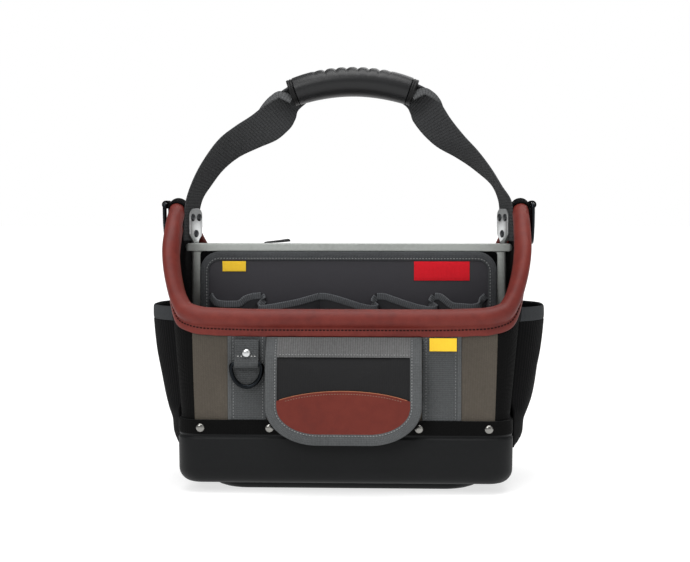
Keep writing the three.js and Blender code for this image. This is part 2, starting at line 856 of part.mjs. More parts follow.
// Five cloth pockets side by side on the board. Each bellies out, most at its top, and its bound top
// edge dips by the three drops of its row.
function addDividerPockets() {
  const start = -1.5 * innerPocketWidth - outerPocketWidth;
  let left = start;
  pocketRows.forEach((row, n) => {
    const width = n === 0 || n === pocketRows.length - 1 ? outerPocketWidth : innerPocketWidth;
    const from = left + gap * half;
    const to = left + width - gap * half;
    left += width;
    const cloth = boardFront - gap;
    const rows = spread(0, 1, pocketSteps).map((t) => {
      const x = mix(from, to, t);
      const drop =
        row.left * (1 - t) * (1 - 2 * t) + row.middle * 4 * t * (1 - t) + row.right * t * (2 * t - 1);
      const top = pocketTop - drop * pocketBulge;
      const belly = row.bulge * pocketBulge * Math.sin(Math.PI * t) ** pocketFullness;
      const heights = [
        ...pocketSection.map(({ height, swell }) => ({
          z: mix(pocketBottom, top, height),
          swell,
          thick: pocketCloth,
        })),
        { z: top - pocketHem - pocketCloth * half, swell: 1, thick: pocketCloth },
        { z: top - pocketHem, swell: 1, thick: pocketHemThickness },
        { z: top, swell: 1, thick: pocketHemThickness },
      ];
      return {
        outer: heights.map(({ z, swell, thick }) => spot(x, cloth - belly * swell - thick, z)),
        inner: heights.map(({ z, swell }) => spot(x, cloth - belly * swell, z)),
      };
    });
    place(tote, "divider_pocket_" + (n + 1), sheet(rows), looks.board);
  });
}

// Bare cloth labels: yellow and red on the board, yellow below the front rim.
function addLabels() {
  const tapeEdge = boardWidth * half - boardTape;
  const board = { face: boardFront - gap, top: boardTop - boardTape };
  const strip = { face: -wallFace - 2 * gap - stripThickness, top: flapTop };
  const labels = [
    {
      name: "board_label_yellow",
      x: -tapeEdge + yellowLabelInset + yellowLabelWidth * half,
      width: yellowLabelWidth,
      height: yellowLabelHeight,
      on: board,
      finish: looks.yellow,
    },
    {
      name: "board_label_red",
      x: tapeEdge - redLabelInset - redLabelWidth * half,
      width: redLabelWidth,
      height: redLabelHeight,
      on: board,
      finish: looks.red,
    },
    {
      name: "front_label_yellow",
      x: stripPlace + frontLabelShift,
      width: frontLabelWidth,
      height: frontLabelHeight,
      on: strip,
      finish: looks.yellow,
    },
  ];
  for (const { name, x, width, height, on, finish } of labels) {
    const box = new THREE.BoxGeometry(width, labelThickness, height);
    const label = place(tote, name, box, finish);
    label.position.set(x, on.face - labelThickness * half, on.top - gap - height * half);
  }
}

// Handle: two brackets with three bolts each, two straps that twist as they rise, and a curved grip
const lean = radians(strapLean);
const bracketLow = barTop + gap;

function addBrackets() {
  for (const { name, sign } of sides) {
    const bracket = new THREE.Group();
    bracket.position.set(sign * bracketPlace, 0, bracketLow);
    bracket.rotation.z = -sign * radians(quarterTurn - strapLean);
    tote.add(bracket);
    const reach = bracketWidth * half;
    const shape = new THREE.Shape();
    shape.moveTo(-bracketFoot * half, 0);
    shape.lineTo(bracketFoot * half, 0);
    shape.lineTo(bracketFoot * half, bracketNeck * half);
    shape.lineTo(reach, 2 * bracketNeck);
    shape.lineTo(reach, bracketHeight - bracketCorner);
    shape.absarc(reach - bracketCorner, bracketHeight - bracketCorner, bracketCorner, 0, Math.PI / 2);
    shape.absarc(
      -reach + bracketCorner,
      bracketHeight - bracketCorner,
      bracketCorner,
      Math.PI / 2,
      Math.PI,
    );
    shape.lineTo(-reach, 2 * bracketNeck);
    shape.lineTo(-bracketFoot * half, bracketNeck * half);
    const plate = new THREE.ExtrudeGeometry(shape, {
      depth: bracketThickness,
      bevelEnabled: false,
      curveSegments: 4,
    });
    plate.translate(0, 0, -bracketThickness * half);
    plate.rotateX(radians(quarterTurn));
    place(bracket, "bracket_" + name, plate, looks.chrome);
    const bolts = [
      { x: -boltSpread * half, z: bracketHeight - boltTopInset },
      { x: boltSpread * half, z: bracketHeight - boltTopInset },
      { x: 0, z: bracketHeight - boltLowInset },
    ];
    bolts.forEach(({ x, z }, i) => {
      const dome = domeGeometry(boltDiameter, boltHeight, 10);
      const bolt = place(bracket, "bracket_bolt_" + name + "_" + (i + 1), dome, looks.chrome);
      bolt.rotation.x = radians(quarterTurn);
      bolt.position.set(x, -bracketThickness * half - gap, z);
    });
  }
}

const gripMiddle = gripTop - gripHeight * half;
const gripSweep = gripLength / gripRadius;

// A point of the grip's middle line by the angle from its crown, and the way out from its centre.
function gripAxis(turn) {
  const out = spot(Math.sin(turn), 0, Math.cos(turn));
  const centre = spot(gripShift, 0, gripMiddle - gripRadius);
  return { at: centre.addScaledVector(out, gripRadius), out };
}

function gripRing(turn, height, depth, ridge = 0) {
  const { at, out } = gripAxis(turn);
  return spread(0, 360, gripRoundSteps)
    .slice(0, -1)
    .map((around) => {
      const a = radians(around);
      const crown = Math.max(0, Math.cos(a)) ** 2;
      return at
        .clone()
        .addScaledVector(out, (height * half + ridge * crown) * Math.cos(a))
        .addScaledVector(frontToBack, depth * half * Math.sin(a));
    });
}

function addGrip() {
  const end = gripSweep * half;
  const rings = spread(-end, end, gripSteps).map((turn) => {
    const share = turn / end;
    const ridged = Math.abs(share) < ridgedShare;
    const wave = ridged ? Math.cos(Math.PI * gripRidges * (share / ridgedShare)) * half - half : 0;
    const waist = mix(1, gripTaper, Math.abs(share) ** 3);
    return gripRing(turn, gripHeight * waist, gripDepth * waist, gripRidge * wave);
  });
  place(tote, "handle_grip", loft(rings), looks.rubber);
  for (const { name, sign } of sides) {
    const from = sign * (end + gap / gripRadius);
    const to = sign * (end + (gap + collarLength) / gripRadius);
    const collar = spread(from, to, collarSteps).map((turn, i) => {
      const swell = i === 0 || i === collarSteps ? 0 : 2 * collarThickness;
      return gripRing(turn, gripHeight * gripTaper + swell, gripDepth * gripTaper + swell);
    });
    place(tote, "grip_collar_" + name, loft(collar), looks.rubber);
  }
}

function addStraps() {
  const across = spot(Math.sin(lean), Math.cos(lean), 0);
  const stack = (bracketThickness + strapThickness) * half + gap;
  for (const { name, sign } of sides) {
    const endTurn = sign * (gripSweep * half + (gap * 2 + collarLength) / gripRadius);
    const end = gripAxis(endTurn).at;
    const intoGrip = spot(-sign * Math.cos(endTurn), 0, sign * Math.sin(endTurn));
    const foot = spot(sign * (bracketPlace + stack * across.y), stack * across.x, bracketLow + gap);
    const table = sign < 0 ? leftStrapRows : rightStrapRows;
    const middle = table.map(({ inward, up }) =>
      spot(mix(foot.x, end.x, inward), mix(foot.y, end.y, inward), mix(foot.z, end.z, up)),
    );
    const rings = table.map((row, i) => {
      const last = table.length - 1;
      const before = middle[Math.max(0, i - 1)];
      const along = i === last ? intoGrip : middle[Math.min(last, i + 1)].clone().sub(before).normalize();
      const inPicture = spot(0, 0, 0).crossVectors(frontToBack, along).normalize();
      const turn = radians(row.lean);
      const wide = frontToBack
        .clone()
        .multiplyScalar(Math.cos(turn))
        .addScaledVector(inPicture, -sign * Math.sin(turn));
      const thin = spot(0, 0, 0).crossVectors(along, wide).normalize();
      const reach = strapWidth * half * row.width;
      const thick = strapThickness * half * row.thick;
      const corner = (w, t) =>
        middle[i].clone().addScaledVector(wide, w * reach).addScaledVector(thin, t * thick);
      return [corner(-1, -1), corner(0, -1), corner(1, -1), corner(1, 1), corner(0, 1), corner(-1, 1)];
    });
    place(tote, "strap_" + name, loft(rings), looks.strapWeb);
  }
}

// Grey webbing down the front, the folded loop on the left strip, and the ring that hangs in it
function addFrontWebbing() {
  const stripTop = flangeBottom - gap;
  const stripLow = tubHeight + gap;
  const middle = -wallFace - gap - stripThickness * half;
  for (const { name, sign } of sides) {
    const box = new THREE.BoxGeometry(stripWidth, stripThickness, stripTop - stripLow);
    const strip = place(tote, "webbing_strip_" + name, box, looks.greyWeb);
    strip.position.set(sign * stripPlace, middle, (stripTop + stripLow) * half);
  }
  const stripFace = wallFace + gap + stripThickness;
  const loopDepth = 2 * loopThickness;
  const ringFace = stripFace + gap + sleeveRadius;
  const flatLow = frontRingHeight;
  const flat = new THREE.BoxGeometry(webLoopWidth, loopDepth, webLoopTop - flatLow);
  flat.translate(0, -stripFace - gap - loopDepth * half, (webLoopTop + flatLow) * half);
  const round = sleeve(webLoopWidth, sleeveRadius);
  const bore = sleeve(webLoopWidth * 2, boreRadius);
  for (const tube of [round, bore]) tube.translate(0, -ringFace, frontRingHeight);
  const loop = solidOf(flat).add(solidOf(round)).subtract(solidOf(bore));
  const hanger = new THREE.Group();
  hanger.position.x = -stripPlace;
  tote.add(hanger);
  place(hanger, "ring_loop", geometryOf(loop), looks.greyWeb);
  const rivet = place(hanger, "ring_loop_rivet", domeGeometry(rivetDiameter, rivetHeight), looks.chrome);
  rivet.rotation.x = radians(quarterTurn);
  rivet.position.set(0, -stripFace - gap - loopDepth - gap, loopRivetHeight);
  const ring = place(hanger, "front_ring", ringGeometry(frontRingWidth, frontRingDrop), looks.darkNickel);
  ring.position.set(0, -ringFace, frontRingHeight);
}

// A point of the flap: across, down its length, and out from its middle surface.
function flapPoint(x, down, out) {
  const standAt = (d) =>
    flapStand * through(flapProfile, "along", "stand", THREE.MathUtils.clamp(d / flapLength, 0, 1));
  const step = 1;
  const slope = (standAt(down + step) - standAt(down - step)) / (2 * step);
  const tilt = Math.atan(slope);
  const root = wallFace + gap + flapThickness * half;
  const y = -root - standAt(down) - out * Math.cos(tilt);
  return spot(x, y, flapTop - down + out * Math.sin(tilt) * half);
}

// Half width of the flap by the distance down it, with round lower corners.
function flapHalfWidth(down, inset = 0) {
  const corner = flapCorner - inset;
  const low = flapLength - inset - corner;
  const reach = flapWidth * half - inset;
  if (down <= low) return reach;
  const into = Math.min(1, (down - low) / corner);
  return reach - corner * (1 - Math.sqrt(1 - into * into));
}

function addFlapPocket() {
  const pouchBack = wallFace + gap;
  const centre = spot(0, -pouchBack - pouchDepth * half, 0);
  const ring = (inset, z) =>
    roundedRing(pouchWidth * half - inset, pouchDepth * half - inset, pouchCorner - inset, z, centre, 3);
  const low = tubHeight + gap;
  const pouch = [
    ring(pouchEdge * half, low),
    ring(0, low + pouchEdge),
    ring(0, pouchTop),
    ring(pouchCloth, pouchTop),
    ring(pouchCloth, low + pouchCloth),
  ];
  place(tote, "flap_pouch", loft(pouch), looks.blackCloth);

  const cornerTurns = spread(0, quarterTurn, cornerSteps).slice(1);
  const cornerStart = flapLength - flapCorner;
  const downs = [
    0,
    ...flapProfile.slice(1, -2).map(({ along }) => along * flapLength),
    cornerStart,
    ...cornerTurns.map((turn) => cornerStart + flapCorner * Math.sin(radians(turn))),
  ];
  const sheetRow = (down, reach, out, thick) => {
    const columns = spread(-reach, reach, flapColumns);
    return {
      outer: columns.map((x) => flapPoint(x, down, out + thick)),
      inner: columns.map((x) => flapPoint(x, down, out)),
    };
  };
  const panel = downs.map((down) =>
    sheetRow(down, Math.max(flapHalfWidth(down), 1), -flapThickness * half, flapThickness),
  );
  place(tote, "flap_panel", sheet(panel), looks.blackCloth);

  const face = flapThickness * half + gap;
  const bandRows = downs
    .filter((down) => down < flapBand)
    .concat(flapBand)
    .map((down) => sheetRow(down, flapWidth * half, face, tapeThickness));
  place(tote, "flap_band", sheet(bandRows), looks.greyWeb);

  const edge = [];
  const tapeStart = flapBand + gap;
  const innerCorner = flapCorner - flapTape;
  const centreX = flapWidth * half - flapCorner;
  const straight = downs.filter((down) => down > tapeStart && down < cornerStart);
  for (const down of [tapeStart, ...straight, cornerStart]) {
    edge.push({ x: flapWidth * half, down, ix: flapWidth * half - flapTape, idown: down });
  }
  for (const turn of cornerTurns) {
    const [c, s] = [Math.cos(radians(turn)), Math.sin(radians(turn))];
    edge.push({
      x: centreX + flapCorner * c,
      down: cornerStart + flapCorner * s,
      ix: centreX + innerCorner * c,
      idown: cornerStart + innerCorner * s,
    });
  }
  const across = (row, sign) => {
    const columns = [0, 1].map((t) => [sign * mix(row.x, row.ix, t), mix(row.down, row.idown, t)]);
    return {
      outer: columns.map(([x, down]) => flapPoint(x, down, face + tapeThickness)),
      inner: columns.map(([x, down]) => flapPoint(x, down, face)),
    };
  };
  const tape = [
    ...edge.map((row) => across(row, -1)),
    ...edge.slice().reverse().map((row) => across(row, 1)),
  ];
  place(tote, "flap_binding", sheet(tape), looks.tape);

  const patchInset = flapTape + gap;
  const patchReach = flapWidth * half - patchInset;
  const patchSide = patchReach - patchMargin;
  const patchRows = spread(-1, 1, patchSteps).map((share) => {
    const x = patchSide * share;
    const top = patchDrop - patchCrown * (1 - share * share);
    const corner = flapCorner - patchInset;
    const over = Math.max(0, Math.abs(x) - (patchReach - corner));
    const bottom = flapLength - patchInset - corner + Math.sqrt(corner * corner - over * over);
    const stations = [0, half, 1].map((t) => mix(top, bottom, t));
    return {
      outer: stations.map((down) => flapPoint(x, down, face + leather)),
      inner: stations.map((down) => flapPoint(x, down, face)),
    };
  });
  place(tote, "flap_patch", sheet(patchRows), looks.leather);
}

// The place round the wall that lies at a given depth, found by halving.
function placeAtDepth(y, z) {
  let low = 1;
  let high = 5;
  for (let i = 0; i < halvings; i++) {
    const middle = (low + high) * half;
    if (wallAt(middle, z, wallHalf).y < y) low = middle;
    else high = middle;
  }
  return (low + high) * half;
}

// Side pockets: a belly of mesh cloth that meets the wall at its front and back edges.
function addSidePockets() {
  const height = sidePocketTop - sidePocketBottom;
  const hemShare = 1 - sidePocketHem / height;
  const tubStand = tubWall + bandStep + gap;
  const point = (share, y, thick, out, sign) => {
    const z = sidePocketBottom + share * height;
    const across = (2 * y) / sidePocketDepth;
    const middle = through(sidePocketRows, "height", "middle", share) * sidePocketStand;
    const edge = thick + gap + through(sidePocketRows, "height", "overTub", share) * tubStand;
    const stand = mix(edge, Math.max(middle, edge), 1 - Math.abs(across) ** 3);
    return wallAt(placeAtDepth(y, z), z, wallHalf + stand - out, sign);
  };
  const sheetOf = (shares, thick, sign) =>
    sheet(
      spread(-1, 1, sidePocketSteps).map((across) => {
        const y = Math.sin((across * Math.PI) / 2) * sidePocketDepth * half;
        return {
          outer: shares.map((share) => point(share, y, thick, 0, sign)),
          inner: shares.map((share) => point(share, y, thick, thick, sign)),
        };
      }),
    );
  const lower = sidePocketRows.map((row) => row.height).filter((share) => share < hemShare);
  const hemGap = gap / height;
  for (const { name, sign } of sides) {
    const pocket = sheetOf([...lower, hemShare - hemGap], sidePocketCloth, sign);
    place(tote, "side_pocket_" + name, pocket, looks.blackCloth);
    const hem = sheetOf([hemShare, 1], sideHemThickness, sign);
    place(tote, "side_pocket_hem_" + name, hem, looks.greyWeb);
  }
}

// A thin black pull that lies on the top bar.
function addBarPull() {
  const box = new THREE.BoxGeometry(pullLength, pullDepth, pullHeight);
  const pull = place(tote, "bar_pull", box, looks.rubber);
  pull.position.set(pullPlace, 0, barTop + gap + pullHeight * half);
}

addTub();
addTubRivets();
addWalls();
addRim();
addEars();
addFrame();
addDivider();
addDividerPockets();
addLabels();
addBrackets();
addGrip();
addStraps();
addFrontWebbing();
addFlapPocket();
addSidePockets();
addBarPull();

export default tote;
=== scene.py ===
"""An open top tool tote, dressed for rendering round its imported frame.

Lengths are millimetres up to the moment that a mesh is made, and metres from there on. +Z is up and
the front faces -Y. A place round the wall is 0 at the front middle, 1 to 2 at the front corner, 3 at
the middle of the side, 4 to 5 at the back corner and 6 at the back middle.
"""
import math

import bpy
import numpy as np
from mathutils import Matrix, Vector


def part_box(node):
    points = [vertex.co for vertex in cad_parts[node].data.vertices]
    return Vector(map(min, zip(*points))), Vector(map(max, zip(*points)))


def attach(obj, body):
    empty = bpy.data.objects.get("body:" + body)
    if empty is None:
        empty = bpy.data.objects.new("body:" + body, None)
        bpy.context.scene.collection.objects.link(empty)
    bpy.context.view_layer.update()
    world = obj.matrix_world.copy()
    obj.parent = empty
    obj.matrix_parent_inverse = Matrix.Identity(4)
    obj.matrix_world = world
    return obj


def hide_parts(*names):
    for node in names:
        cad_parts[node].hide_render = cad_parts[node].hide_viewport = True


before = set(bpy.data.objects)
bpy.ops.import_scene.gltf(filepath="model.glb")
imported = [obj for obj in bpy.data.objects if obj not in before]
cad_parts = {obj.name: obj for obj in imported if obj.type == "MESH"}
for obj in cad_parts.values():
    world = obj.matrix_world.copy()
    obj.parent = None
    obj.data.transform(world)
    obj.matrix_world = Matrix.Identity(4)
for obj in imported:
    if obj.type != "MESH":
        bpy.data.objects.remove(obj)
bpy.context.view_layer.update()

MM = 0.001
SIDES = {"left": -1, "right": 1}
ROOT = "tote"


def node_box(node):
    """Lowest and highest corner of a CAD node, in millimetres."""
    low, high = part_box(node)
    return np.array(low) / MM, np.array(high) / MM


TUB_HIGH = node_box("base_tub")[1]
RIM_LOW = node_box("rim_roll")[0]
BAR_LOW, BAR_HIGH = node_box("frame_top_bar")
BOARD_LOW, BOARD_HIGH = node_box("divider_binding")

# Walls and rim
GAP = 0.3
WALL_HALF = 2.5
ROLL_RADIUS = 9.5
EAR_ROLL_RADIUS = 8
LINING = 0.7
FLANGE_DROP = 17
SLOT_OUT = 3.1
SEAM_PLACE = 1.22
TUB_TOP = TUB_HIGH[2]
RIM_FRONT_HEIGHT = RIM_LOW[2] + FLANGE_DROP
RIM_BACK_RISE = 15
RIM_BACK_HEIGHT = RIM_FRONT_HEIGHT + RIM_BACK_RISE
EAR_HEIGHT = 276.5
RIM_FLARE = 10
RIM_HALF_WIDTH = TUB_HIGH[0] + RIM_FLARE
RIM_HALF_DEPTH = 93.6
RIM_FRONT_CORNER = 40
RIM_BACK_CORNER = 80
BASE_HALF_WIDTH = 157.1
BASE_CORNER = 19.5
WALL_FACE = RIM_HALF_DEPTH + WALL_HALF
WALL_FOOT = 24

# How far the rim has climbed from its low run to the ear: place round the wall, share of the climb
RIM_RISE = [
    (0, 0),
    (0.6, 0),
    (1, 0.014),
    (1.33, 0.06),
    (1.5, 0.17),
    (1.67, 0.35),
    (2, 0.67),
    (2.5, 0.9),
    (3, 1),
    (4, 0.975),
    (4.17, 0.88),
    (4.33, 0.64),
    (4.5, 0.34),
    (4.67, 0.14),
    (4.83, 0.045),
    (5, 0.01),
    (5.4, 0),
    (6, 0),
]


def through(rows, at):
    """A smooth curve through a table's rows, each a place and then values, that never swings past a row:
    cubic pieces whose slopes are the harmonic mean of the slopes on either side."""
    rows = np.asarray(rows, float)
    place, value = rows[:, 0], rows[:, 1:]
    at = np.clip(np.asarray(at, float), place[0], place[-1])
    width = np.diff(place)[:, None]
    slope = np.diff(value, axis=0) / width
    product = slope[:-1] * slope[1:]
    total = slope[:-1] + slope[1:]
    inner = np.where(product > 0, 2 * product / np.where(total == 0, 1, total), 0)
    tangent = np.vstack([slope[:1], inner, slope[-1:]])
    i = np.clip(np.searchsorted(place, at, side="right") - 1, 0, len(place) - 2)
    t = ((at - place[i]) / width[i, 0])[..., None]
    rest = 1 - t
    start = value[i] * (1 + 2 * t) * rest**2 + tangent[i] * width[i] * t * rest**2
    end = value[i + 1] * t**2 * (3 - 2 * t) - tangent[i + 1] * width[i] * t**2 * rest
    found = start + end
    return found[..., 0] if found.shape[-1] == 1 else found


def evenly(points, count):
    """The same line at even steps of its length."""
    length = np.concatenate([[0], np.cumsum(np.linalg.norm(np.diff(points, axis=0), axis=1))])
    at = np.linspace(0, length[-1], count)
    return np.stack([np.interp(at, length, points[:, k]) for k in range(points.shape[1])], 1)


def curve(points, count):
    """A smooth line through given points: cubic pieces whose tangents join the neighbours."""
    points = np.asarray(points, float)
    chord = np.concatenate([[0], np.cumsum(np.linalg.norm(np.diff(points, axis=0), axis=1))])
    tangent = np.gradient(points, chord, axis=0)
    at = np.linspace(0, chord[-1], 24 * len(points))
    i = np.clip(np.searchsorted(chord, at, side="right") - 1, 0, len(points) - 2)
    width = (chord[i + 1] - chord[i])[:, None]
    t = (at - chord[i])[:, None] / width
    line = (
        points[i] * (1 + 2 * t) * (1 - t) ** 2
        + tangent[i] * width * t * (1 - t) ** 2
        + points[i + 1] * t**2 * (3 - 2 * t)
        - tangent[i + 1] * width * t**2 * (1 - t)
    )
    return evenly(line, count)


def unit(vectors):
    """Vectors scaled to length one."""
    return vectors / np.linalg.norm(vectors, axis=-1, keepdims=True)


def tangents(path, joined=False):
    """Unit directions along a line of points."""
    if joined:
        return unit(np.roll(path, -1, axis=0) - np.roll(path, 1, axis=0))
    return unit(np.gradient(path, axis=0))


def mix(a, b, t):
    """The value a share t of the way from a to b."""
    return a + (b - a) * t


def spot(x, y, z):
    """One point or direction."""
    return np.array([x, y, z], float)


def stack(*values):
    """Coordinates of a grid of points from arrays that broadcast together."""
    return np.stack(np.broadcast_arrays(*values), -1).astype(float)


def plan_at(at, half_x, half_y, front_corner, back_corner):
    """A rounded plan and its outward normal by the place round it: straight runs joined by quarter
    circles."""
    front = at < 3
    turn = np.clip(np.where(front, at - 1, 5 - at), 0, 1) * math.pi / 2
    corner = np.where(front, front_corner, back_corner)
    facing = np.where(front, -1.0, 1.0)
    across = np.clip(np.where(front, at, 6 - at), 0, 1)
    beside = np.clip(np.where(front, 3 - at, at - 3), 0, 1)
    out = stack(np.sin(turn), facing * np.cos(turn), 0)
    x = across * (half_x - corner) + corner * out[..., 0]
    y = beside * facing * (half_y - corner) + corner * out[..., 1]
    return x, y, out


def rim_height(at):
    """The rim's middle line: the low run plus its share of the climb to the ear."""
    low = np.where(at <= 3, RIM_FRONT_HEIGHT, RIM_BACK_HEIGHT)
    return mix(low, EAR_HEIGHT, through(RIM_RISE, at))


def roll_radius(at):
    """The rim's radius, which shrinks from its low run to the ear."""
    return mix(ROLL_RADIUS, EAR_ROLL_RADIUS, through(RIM_RISE, at))


def wall_at(at, z, out, sign=1):
    """A point of the wall: upright inside the tub, then straight up to the rim, moved outwards."""
    at, z, out = np.broadcast_arrays(np.asarray(at, float), z, out)
    bx, by, b_out = plan_at(at, BASE_HALF_WIDTH, RIM_HALF_DEPTH, BASE_CORNER, BASE_CORNER)
    rx, ry, r_out = plan_at(at, RIM_HALF_WIDTH, RIM_HALF_DEPTH, RIM_FRONT_CORNER, RIM_BACK_CORNER)
    share = np.maximum(0, (z - TUB_TOP) / (rim_height(at) - TUB_TOP))
    normal = unit(mix(b_out, r_out, np.minimum(share, 1)[..., None]))
    x = mix(bx, rx, share) + normal[..., 0] * out
    return stack(sign * x, mix(by, ry, share) + normal[..., 1] * out, z)


def all_round(half):
    """Places once round the tote from those of its right half, and the side that each is on."""
    return np.concatenate([half, half[-2:0:-1]]), np.repeat([1.0, -1.0], [len(half), len(half) - 2])


RIM_STEPS = 1201
rim_places = np.linspace(0, 6, RIM_STEPS)
rim_x, rim_y, _ = plan_at(rim_places, RIM_HALF_WIDTH, RIM_HALF_DEPTH, RIM_FRONT_CORNER, RIM_BACK_CORNER)
rim_run = np.concatenate([[0], np.cumsum(np.hypot(np.diff(rim_x), np.diff(rim_y)))])
rim_slope = np.arctan(np.gradient(rim_height(rim_places), rim_run))


def rim_point(at, up, out, sign=1):
    """A point beside the rim's middle line, square to its slope and wrapped round the wall."""
    at, up, out = np.broadcast_arrays(np.asarray(at, float), up, out)
    slope = np.interp(at, rim_places, rim_slope)
    run = np.interp(at, rim_places, rim_run) - up * np.sin(slope)
    z = rim_height(at) + up * np.cos(slope)
    return wall_at(np.interp(run, rim_run, rim_places), z, out, sign)


HALVINGS = 40


def at_depth(y, z):
    """The place round the wall that lies at a given depth, found by halving."""
    y, z = np.broadcast_arrays(np.asarray(y, float), z)
    low, high = np.full(y.shape, 1.0), np.full(y.shape, 5.0)
    for _ in range(HALVINGS):
        middle = (low + high) / 2
        short = wall_at(middle, z, WALL_HALF)[..., 1] < y
        low, high = np.where(short, middle, low), np.where(short, high, middle)
    return (low + high) / 2


def grid_quads(rows, columns, join_rows=False, join_columns=False):
    """Quads between neighbouring rows and columns of a grid: corner numbers before wrapping round."""
    r = np.arange(rows if join_rows else rows - 1)
    c = np.arange(columns if join_columns else columns - 1)
    r, c = (a.ravel() for a in np.meshgrid(r, c, indexing="ij"))
    return np.stack([r, r, r + 1, r + 1], 1), np.stack([c, c + 1, c + 1, c], 1)


def lengths(points, axis, joined):
    """Distance walked along one way of a grid, averaged over the other way, its closing step too."""
    ends = np.take(points, [0], axis=axis) if joined else np.take(points, [], axis=axis)
    closed = np.concatenate([points, ends], axis=axis)
    step = np.linalg.norm(np.diff(closed, axis=axis), axis=-1).mean(axis=1 - axis)
    return np.concatenate([[0], np.cumsum(step)])


def piece(name, points, faces, material, slot, body=ROOT, stands_for=(), cloth=None, sharp=40):
    """Makes one finished piece from points in millimetres: its mesh, its cloth coordinates in metres,
    its material, the body that it rides on and the nodes that it stands for. Its slot is not used."""
    mesh = bpy.data.meshes.new(name)
    mesh.from_pydata((points.reshape(-1, 3) * MM).tolist(), [], faces)
    if cloth is not None:
        layer = mesh.uv_layers.new(name="cloth")
        layer.data.foreach_set("uv", (cloth * MM).astype(np.float32).ravel())
    mesh.validate()
    mesh.shade_smooth()
    mesh.set_sharp_from_angle(angle=math.radians(sharp))
    obj = bpy.data.objects.new(name, mesh)
    bpy.context.scene.collection.objects.link(obj)
    mesh.materials.append(material)
    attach(obj, body)
    if stands_for:
        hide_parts(*stands_for)
    return obj


def surface(name, points, material, slot, join_rows=False, join_columns=True, caps=True, **rest):
    """A grid of points as a piece. Where its columns close into a ring, its open ends get a cap. The
    faces are turned outwards by the sign of the volume that they enclose."""
    rows, columns = points.shape[:2]
    r, c = grid_quads(rows, columns, join_rows, join_columns)
    quads = (r % rows) * columns + c % columns
    faces = quads.tolist()
    along, across = lengths(points, 0, join_rows), lengths(points, 1, join_columns)
    cloth = [np.stack([along[r], across[c]], -1).reshape(-1, 2)]
    if join_columns and not join_rows and caps:
        ring = np.arange(columns)
        faces += [ring[::-1].tolist(), (ring + (rows - 1) * columns).tolist()]
        cloth += [np.zeros((2 * columns, 2))]
    flat = points.reshape(-1, 3)
    a, b, d, e = (flat[quads[:, k]] for k in range(4))
    volume = (np.cross(b - a, d - a) * a).sum() + (np.cross(d - a, e - a) * a).sum()
    cloth = np.concatenate(cloth)
    if volume < 0:
        sizes = [len(f) for f in faces]
        starts = np.cumsum([0] + sizes)
        order = np.concatenate([np.arange(s + n - 1, s - 1, -1) for s, n in zip(starts, sizes)])
        cloth = cloth[order]
        faces = [f[::-1] for f in faces]
    return piece(name, flat, faces, material, slot, cloth=cloth, **rest)


def shell(name, outer, inner, material, slot, **rest):
    """A sheet with a thickness: its outer points, then its inner points back, closed into a ring."""
    return surface(name, np.concatenate([outer, inner[:, ::-1]], 1), material, slot, **rest)


def sweep(path, side, up, profile):
    """A profile carried along a path: (a, b) of it lies a along side and b along up."""
    profile = np.asarray(profile, float)
    profile = profile[None] if profile.ndim == 2 else profile
    side, up = (np.broadcast_to(v, path.shape) for v in (side, up))
    return path[:, None] + profile[..., :1] * side[:, None] + profile[..., 1:] * up[:, None]


def round_profile(radius, steps=20):
    """A circle about the origin."""
    turn = np.linspace(0, 2 * math.pi, steps, endpoint=False)
    return np.stack([radius * np.cos(turn), radius * np.sin(turn)], 1)


def box_profile(width, height, corner, steps=5, across=1):
    """A rounded rectangle about the origin, with its straight sides cut into a few parts."""
    points = []
    for x, y, start in ((1, 1, 0), (-1, 1, 90), (-1, -1, 180), (1, -1, 270)):
        turn = np.radians(np.linspace(start, start + 90, steps))
        points.append(np.stack([x * (width / 2 - corner) + corner * np.cos(turn),
                                y * (height / 2 - corner) + corner * np.sin(turn)], 1))
    ring = []
    for here, there in zip(points, points[1:] + points[:1]):
        ring.append(here)
        ring.append(mix(here[-1], there[0], np.linspace(0, 1, across + 1)[1:-1, None]))
    return np.concatenate(ring)


def rounded_ring(half_x, half_y, corner, z, steps=12):
    """A level rounded rectangle."""
    ring = box_profile(2 * half_x, 2 * half_y, corner, steps)
    return stack(ring[:, 0], ring[:, 1], z)


def dome_points(diameter, height, base, axis, side, rounds=28, rings=9):
    """A domed rivet head: a short wall, then a quarter ellipse up to its crown, about an axis."""
    rim = 0.16 * height
    turn = np.linspace(0, math.pi / 2, rings)
    radius = np.concatenate([[diameter / 2], diameter / 2 * np.cos(turn) ** 0.8])
    rise = np.concatenate([[0], rim + (height - rim) * np.sin(turn)])
    radius[-1] = 0.02
    around = np.linspace(0, 2 * math.pi, rounds, endpoint=False)
    other = np.cross(axis, side)
    spread = np.cos(around)[:, None] * side + np.sin(around)[:, None] * other
    return base + radius[:, None, None] * spread + rise[:, None, None] * np.asarray(axis, float)


